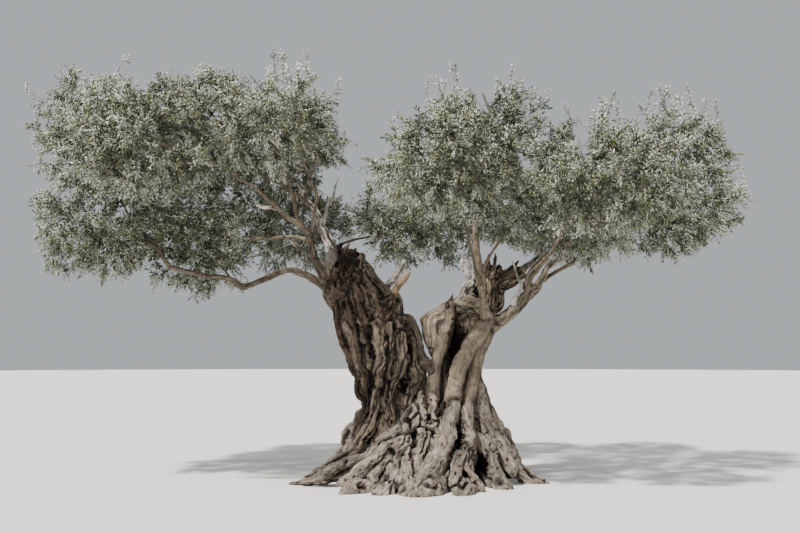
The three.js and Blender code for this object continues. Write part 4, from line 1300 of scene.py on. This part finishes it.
def leafy_shoots(rng, number, balls, twigs, wanted):
    """Shoots off the twigs of a mass, each as three points, kept to its space and clear of wood."""
    mass = MASSES[number]
    tries = wanted * SHOOT_TRIES
    lengths = np.array([np.linalg.norm(points[-1] - points[0]) for points, _ in twigs])
    chosen = rng.choice(len(twigs), tries, p=lengths / lengths.sum())
    shares = rng.beta(1.6, 0.9, tries) * 6
    at = np.minimum(shares.astype(int), 5)
    rest = (shares - at)[:, None]
    table = np.array([points for points, _ in twigs])
    starts = table[chosen, at] * (1 - rest) + table[chosen, at + 1] * rest
    heading = unit(table[chosen, -1] - table[chosen, 0])
    outward = unit((starts - np.array(mass[1])) / np.array(mass[2]))
    ways = heading * SHOOT_AHEAD + outward * SHOOT_OUT + rng.normal(0, SHOOT_SPREAD, (tries, 3))
    hanging = starts[:, 2] < mass[1][2] - mass[2][2] * HANG_BELOW
    ways[:, 2] += np.where(hanging, -SHOOT_DROOP, SHOOT_RISE)
    ways = unit(ways)
    reach = rng.uniform(*SHOOT_LENGTH, (tries, 1))
    middles = starts + ways * reach * 0.5
    swing = rng.normal(0, SHOOT_SWING, (tries, 3))
    ends = middles + unit(ways + swing + (0, 0, -SHOOT_SAG)) * reach * 0.5
    free = np.ones(tries, bool)
    skin = rng.uniform(*CROWN_SKIN, tries) + hanging * HANG_SKIN
    for places in (middles, ends):
        free &= in_space(mass, places, OVERLAP, OVERREACH)
        free &= crown_depth(places) < skin + SKIN_SWELL * noise(places / SKIN_SWELL_SIZE)
        free &= (places[:, 1] > CROWN_FRONT) & (places[:, 1] < CROWN_BACK)
        free &= clear_of_wood(balls, number, places, SHOOT_CLEAR)
        free &= open_sky(places)
    kept = np.flatnonzero(free)[:wanted]
    return np.stack([starts[kept], middles[kept], ends[kept]], axis=1)


def water_shoots(rng, shoots):
    """Long upright shoots off the top of the crown, each made of two, one on the other's end."""
    high = np.flatnonzero(crown_depth(shoots[:, 2] + (0, 0, 90)) > WATER_SKIN)
    aside, height = np.abs(shoots[high, 2, 1]), shoots[high, 2, 2]
    lowest, highest = WATER_HEIGHTS
    high = high[(height > lowest) & (height < highest) & (aside < WATER_ASIDE)]
    found = []
    for start in shoots[rng.choice(high, WATER_SHOOTS, replace=False), 2]:
        way = unit(np.array((*rng.normal(0, 0.4, 2), 1)))
        place = start
        step = rng.uniform(*WATER_STEP)
        for _ in range(2):
            onward = unit(way + rng.normal(0, 0.14, 3))
            found.append((place, place + way * step * 0.5, place + (way + onward) * step * 0.5))
            place, way = found[-1][2], onward
    return np.array(found)




def open_sky(places):
    """False for places that would hide a gap from the camera."""
    eye = np.array(CAMERA_PLACE) / MM
    share = -eye[1] / (places[:, 1] - eye[1])
    seen = eye + (places - eye) * share[:, None]
    clear = np.ones(len(places), bool)
    for x, z, wide, high, back in GAPS:
        beside = ((seen[:, 0] - x) / wide) ** 2 + ((seen[:, 2] - z) / high) ** 2 > 1
        clear &= beside | (places[:, 1] > back)
    return clear


def across(along):
    """Two directions square to each of many others."""
    side = np.cross(along, (0.0, 0.0, 1.0))
    side[np.linalg.norm(side, axis=1) < 1e-3] = (1.0, 0.0, 0.0)
    side = unit(side)
    return side, np.cross(side, along)


def tubes(points, radii, sides):
    """Closed tapering tubes along many paths of one length; each ends in a point, the last of its path."""
    paths = len(points)
    rows = points.shape[1] - 1
    ways = np.gradient(points, axis=1)[:, :-1]
    side, other = across(unit(ways).reshape(-1, 3))
    turn = 2 * math.pi * np.arange(sides) / sides
    ring = np.cos(turn)[None, :, None] * side[:, None] + np.sin(turn)[None, :, None] * other[:, None]
    rings = points[:, :-1].reshape(-1, 1, 3) + ring * radii[:, :-1].reshape(-1, 1, 1)
    rings = rings.reshape(paths, rows * sides, 3)
    vertices = np.concatenate([rings, points[:, :1], points[:, -1:]], axis=1)
    faces = []
    for row in range(rows - 1):
        for here in range(sides):
            after = (here + 1) % sides
            a, b = row * sides + here, row * sides + after
            faces += [(a, a + sides, b), (b, a + sides, b + sides)]
    last = (rows - 1) * sides
    for here in range(sides):
        after = (here + 1) % sides
        faces += [(rows * sides, here, after), (rows * sides + 1, last + after, last + here)]
    faces = np.array(faces)
    shift = np.arange(paths)[:, None, None] * vertices.shape[1]
    return vertices.reshape(-1, 3), (faces[None] + shift).reshape(-1, 3)


def together(paths):
    """The points of many paths, and their radii."""
    return (np.array(table) for table in zip(*paths))


def leaves(rng, shoots):
    """Opposite pairs of folded leaves on every shoot: a closed blade of four faces each."""
    count = len(shoots)
    pair = np.arange(LEAF_PAIRS)
    share = (0.1 + 0.9 * (pair + 0.6) / LEAF_PAIRS)[None] + rng.normal(0, 0.012, (count, LEAF_PAIRS))
    share = np.clip(share, 0, 1)[..., None]
    start, middle, end = (shoots[:, at, None] for at in range(3))
    points = start * (1 - share) ** 2 + 2 * middle * share * (1 - share) + end * share**2
    along = unit((middle - start) * (1 - share) + (end - middle) * share)
    points, along = (np.repeat(table.reshape(-1, 3), 2, axis=0) for table in (points, along))
    share = np.repeat(share.ravel(), 2)
    total = len(points)
    turn = np.repeat(rng.uniform(0, 2 * math.pi, count), LEAF_PAIRS * 2)
    turn += np.tile(np.repeat(pair, 2) * math.pi / 2 + np.tile((0, math.pi), LEAF_PAIRS), count)
    turn += rng.normal(0, LEAF_TURN, total)
    side, other = across(along)
    out = side * np.cos(turn)[:, None] + other * np.sin(turn)[:, None]
    mean_lean, scatter, less = LEAF_LEAN
    lean = rng.normal(mean_lean, scatter, total) - less * share
    way = along * np.cos(lean)[:, None] + out * np.sin(lean)[:, None]
    way[:, 2] -= LEAF_SAG
    way = unit(way)
    face = along - way * (along * way).sum(axis=1)[:, None]
    face = unit(face + rng.normal(0, LEAF_TILT, (total, 3)))
    wide = unit(np.cross(face, way))
    face = np.cross(way, wide)
    length = (LEAF_LENGTH * rng.uniform(*LEAF_SIZES, total) * (1 - TIP_LEAF * share**3))[:, None]
    width = LEAF_WIDTH * rng.uniform(*LEAF_WIDTHS, (total, 1)) * (length / LEAF_LENGTH) ** 0.5
    crown = points + way * length * 0.46 + face * width * LEAF_FOLD
    corners = np.stack([
        points, points + way * length, crown + wide * width / 2, crown - wide * width / 2
    ], axis=1)
    faces = np.array([(0, 3, 2), (1, 2, 3), (0, 2, 1), (0, 1, 3)])
    triangles = (faces[None] + np.arange(total)[:, None, None] * 4).reshape(-1, 3)
    return corners.reshape(-1, 3), triangles


def dealt_tones(rng, depth):
    """A tone for each spray: by share, with the darker ones more often inside the crown, as painted shade,
    and the lighter ones outside, as painted light.
    """
    order = np.argsort(depth + rng.normal(0, TONE_MIX, len(depth)))
    shares = np.array([share for _, _, share in LEAF_TONES.values()])
    ends = np.round(np.cumsum(shares) * len(depth)).astype(int)
    dealt = np.empty(len(depth), int)
    dealt[order] = np.searchsorted(ends, np.arange(len(depth)), side="right")
    return dealt


def make_foliage(twig_bark, leaf_materials):
    """Grows every mass and joins its wood and leaves into pieces, the leaves by tone."""
    balls = wood_balls()
    names = [mass[0] for mass in MASSES]
    rng = np.random.default_rng(21)
    grown = [grow_mass(number, balls, share) for number, share in enumerate(room_shares())]
    stems = [stem for stem, _, _ in grown]
    twigs = [twig for _, found, _ in grown for twig in found]
    shoots = np.concatenate([found for _, _, found in grown])
    shoots = np.concatenate([shoots, water_shoots(rng, shoots)])
    thick = np.tile(np.array(SHOOT_TAPER) * SHOOT_THICK, (len(shoots), 1))
    bare_ones = rng.random(len(shoots)) < BARE_SHARE
    thick[bare_ones] *= BARE_THICK
    left = shoots[:, 0, 0] < 0
    bare = [spine(stations, STEM_ROWS)[::2] for stations in BARE_TWIGS]
    wood = {
        "stems": tubes(*together(stems), 7),
        "twigs": tubes(*together(twigs), 4),
        "bare_twigs": tubes(*together(bare), 6),
        "shoots_left": tubes(shoots[left], thick[left], 3),
        "shoots_right": tubes(shoots[~left], thick[~left], 3),
    }
    for name, (vertices, triangles) in wood.items():
        mesh = new_mesh(name, vertices * MM, triangles)
        mesh.shade_smooth()
        new_piece(name, mesh, names, [twig_bark])
    # Painted shade and light: darker tones go to sprays deeper in the crown, lighter ones to the outside
    dealt = dealt_tones(rng, crown_depth(shoots[:, 2]))
    for number, tone in enumerate(LEAF_TONES):
        vertices, triangles = leaves(rng, shoots[(dealt == number) & ~bare_ones])
        mesh = new_mesh("leaves_" + tone, vertices * MM, triangles)
        sides = np.tile((0, 0, 1, 1), len(triangles) // 4)
        new_piece("leaves_" + tone, mesh, names, leaf_materials[tone])
        mesh.polygons.foreach_set("material_index", sides.astype(np.int32))


# Materials


def add_node(material, kind, settings=None, **inputs):
    """Adds a node with its settings, and its inputs as values or as links from other nodes' outputs."""
    node = material.node_tree.nodes.new(kind)
    for name, value in (settings or {}).items():
        setattr(node, name, value)
    for name, value in inputs.items():
        socket = node.inputs[name.replace("_", " ")]
        if isinstance(value, bpy.types.NodeSocket):
            material.node_tree.links.new(value, socket)
        else:
            socket.default_value = value
    return node


def blank_material(name):
    material = bpy.data.materials.new(name)
    material.use_nodes = True
    return material, material.node_tree.nodes["Principled BSDF"]


def link(material, output, socket):
    material.node_tree.links.new(output, socket)


def ranged(material, value, low, high):
    """A noise's value spread from low to high."""
    return add_node(
        material, "ShaderNodeMapRange", Value=value, From_Min=0.3, From_Max=0.7, To_Min=low, To_Max=high
    ).outputs["Result"]


def times(material, one, other):
    product = add_node(material, "ShaderNodeMath", {"operation": "MULTIPLY"})
    for socket, value in zip(product.inputs, (one, other)):
        link(material, value, socket)
    return product.outputs[0]


def wood_material(name, streak_scale, streak_stretch, roughness):
    """Bark or bare wood: the skin's colours, painted shade in its hollows included, streaked along its grain
    and blotched, with fine relief.
    """
    material, shader = blank_material(name)
    # The skin's colours, with painted shade down in its hollows
    colour = add_node(material, "ShaderNodeAttribute", {"attribute_name": "bark"}).outputs["Color"]
    grain = add_node(material, "ShaderNodeAttribute", {"attribute_name": "grain"}).outputs["Vector"]
    coarse = add_node(material, "ShaderNodeAttribute", {"attribute_name": "roughness"}).outputs["Fac"]
    scale = (1, 1, streak_stretch)
    way = add_node(material, "ShaderNodeMapping", Vector=grain, Scale=scale).outputs["Vector"]
    streaks = add_node(
        material, "ShaderNodeTexNoise",
        Vector=way, Scale=streak_scale, Detail=6.0, Roughness=0.62, Distortion=0.5,
    ).outputs["Fac"]
    places = add_node(material, "ShaderNodeTexCoord").outputs["Object"]
    blotches = add_node(
        material, "ShaderNodeTexNoise", Vector=places, Scale=13.0, Detail=7.0, Roughness=0.75
    ).outputs["Fac"]
    strong = ranged(material, streaks, 0.3, 1.55)
    weak = ranged(material, streaks, 0.82, 1.15)
    streaked = add_node(material, "ShaderNodeMix", Factor=coarse, A=weak, B=strong).outputs["Result"]
    shade = times(material, streaked, ranged(material, blotches, 0.55, 1.4))
    scaled = add_node(material, "ShaderNodeVectorMath", {"operation": "SCALE"})
    link(material, colour, scaled.inputs[0])
    link(material, shade, scaled.inputs["Scale"])
    link(material, scaled.outputs[0], shader.inputs["Base Color"])
    height = times(material, streaked, coarse)
    bump = add_node(material, "ShaderNodeBump", Height=height, Strength=0.8, Distance=0.014)
    link(material, bump.outputs["Normal"], shader.inputs["Normal"])
    shader.inputs["Roughness"].default_value = roughness
    shader.inputs["Specular IOR Level"].default_value = 0.25
    return material


def plain_material(name, colour, roughness, gloss):
    material, shader = blank_material(name)
    shader.inputs["Base Color"].default_value = (*linear(colour), 1)
    shader.inputs["Roughness"].default_value = roughness
    shader.inputs["Specular IOR Level"].default_value = gloss
    return material


# The stage


def make_floor():
    bpy.ops.mesh.primitive_circle_add(vertices=96, radius=70, fill_type="NGON")
    floor = bpy.context.object
    floor.name = "floor"
    floor.data.materials.append(plain_material("pale floor", "#e9e7e2", 0.9, 0.1))


def add_sun(name, place, aim, energy, colour, size):
    data = bpy.data.lights.new(name, "SUN")
    data.energy = energy
    data.color = colour
    data.angle = size
    lamp = bpy.data.objects.new(name, data)
    bpy.context.collection.objects.link(lamp)
    lamp.location = place
    lamp.rotation_euler = (Vector(aim) - Vector(place)).to_track_quat("-Z", "Y").to_euler()


def make_lights():
    world = bpy.data.worlds.new("studio")
    bpy.context.scene.world = world
    world.use_nodes = True
    background = world.node_tree.nodes["Background"]
    background.inputs["Color"].default_value = (*linear("#e6ebf0"), 1)
    background.inputs["Strength"].default_value = 0.6
    add_sun("key", (-5, -8, 12), (0, 0, 1), 6.4, (1.0, 0.975, 0.94), math.radians(3))
    add_sun("low_fill", (-3, -11, 3.8), (0, 0, 1.2), 1.6, (1.0, 0.98, 0.95), math.radians(30))


def make_camera():
    data = bpy.data.cameras.new("camera")
    data.lens = CAMERA_LENS
    data.sensor_width = 36
    data.clip_end = 300
    camera = bpy.data.objects.new("camera", data)
    bpy.context.collection.objects.link(camera)
    camera.location = CAMERA_PLACE
    camera.rotation_euler = (math.radians(90 + CAMERA_PITCH), 0, 0)
    bpy.context.scene.camera = camera


bpy.ops.object.select_all(action="DESELECT")
make_camera()
make_floor()
make_lights()
make_wood({
    "bark": wood_material("olive bark", 42.0, 0.16, 0.9),
    "dead_wood": wood_material("weathered dead wood", 60.0, 0.07, 0.82),
})
make_foliage(
    plain_material("olive twig bark", "#5f584c", 0.85, 0.3),
    {
        tone: [
            plain_material(f"olive leaf {tone} upper side", upper, 0.5, 0.45),
            plain_material(f"olive leaf {tone} under side", under, 0.7, 0.25),
        ]
        for tone, (upper, under, _) in LEAF_TONES.items()
    },
)
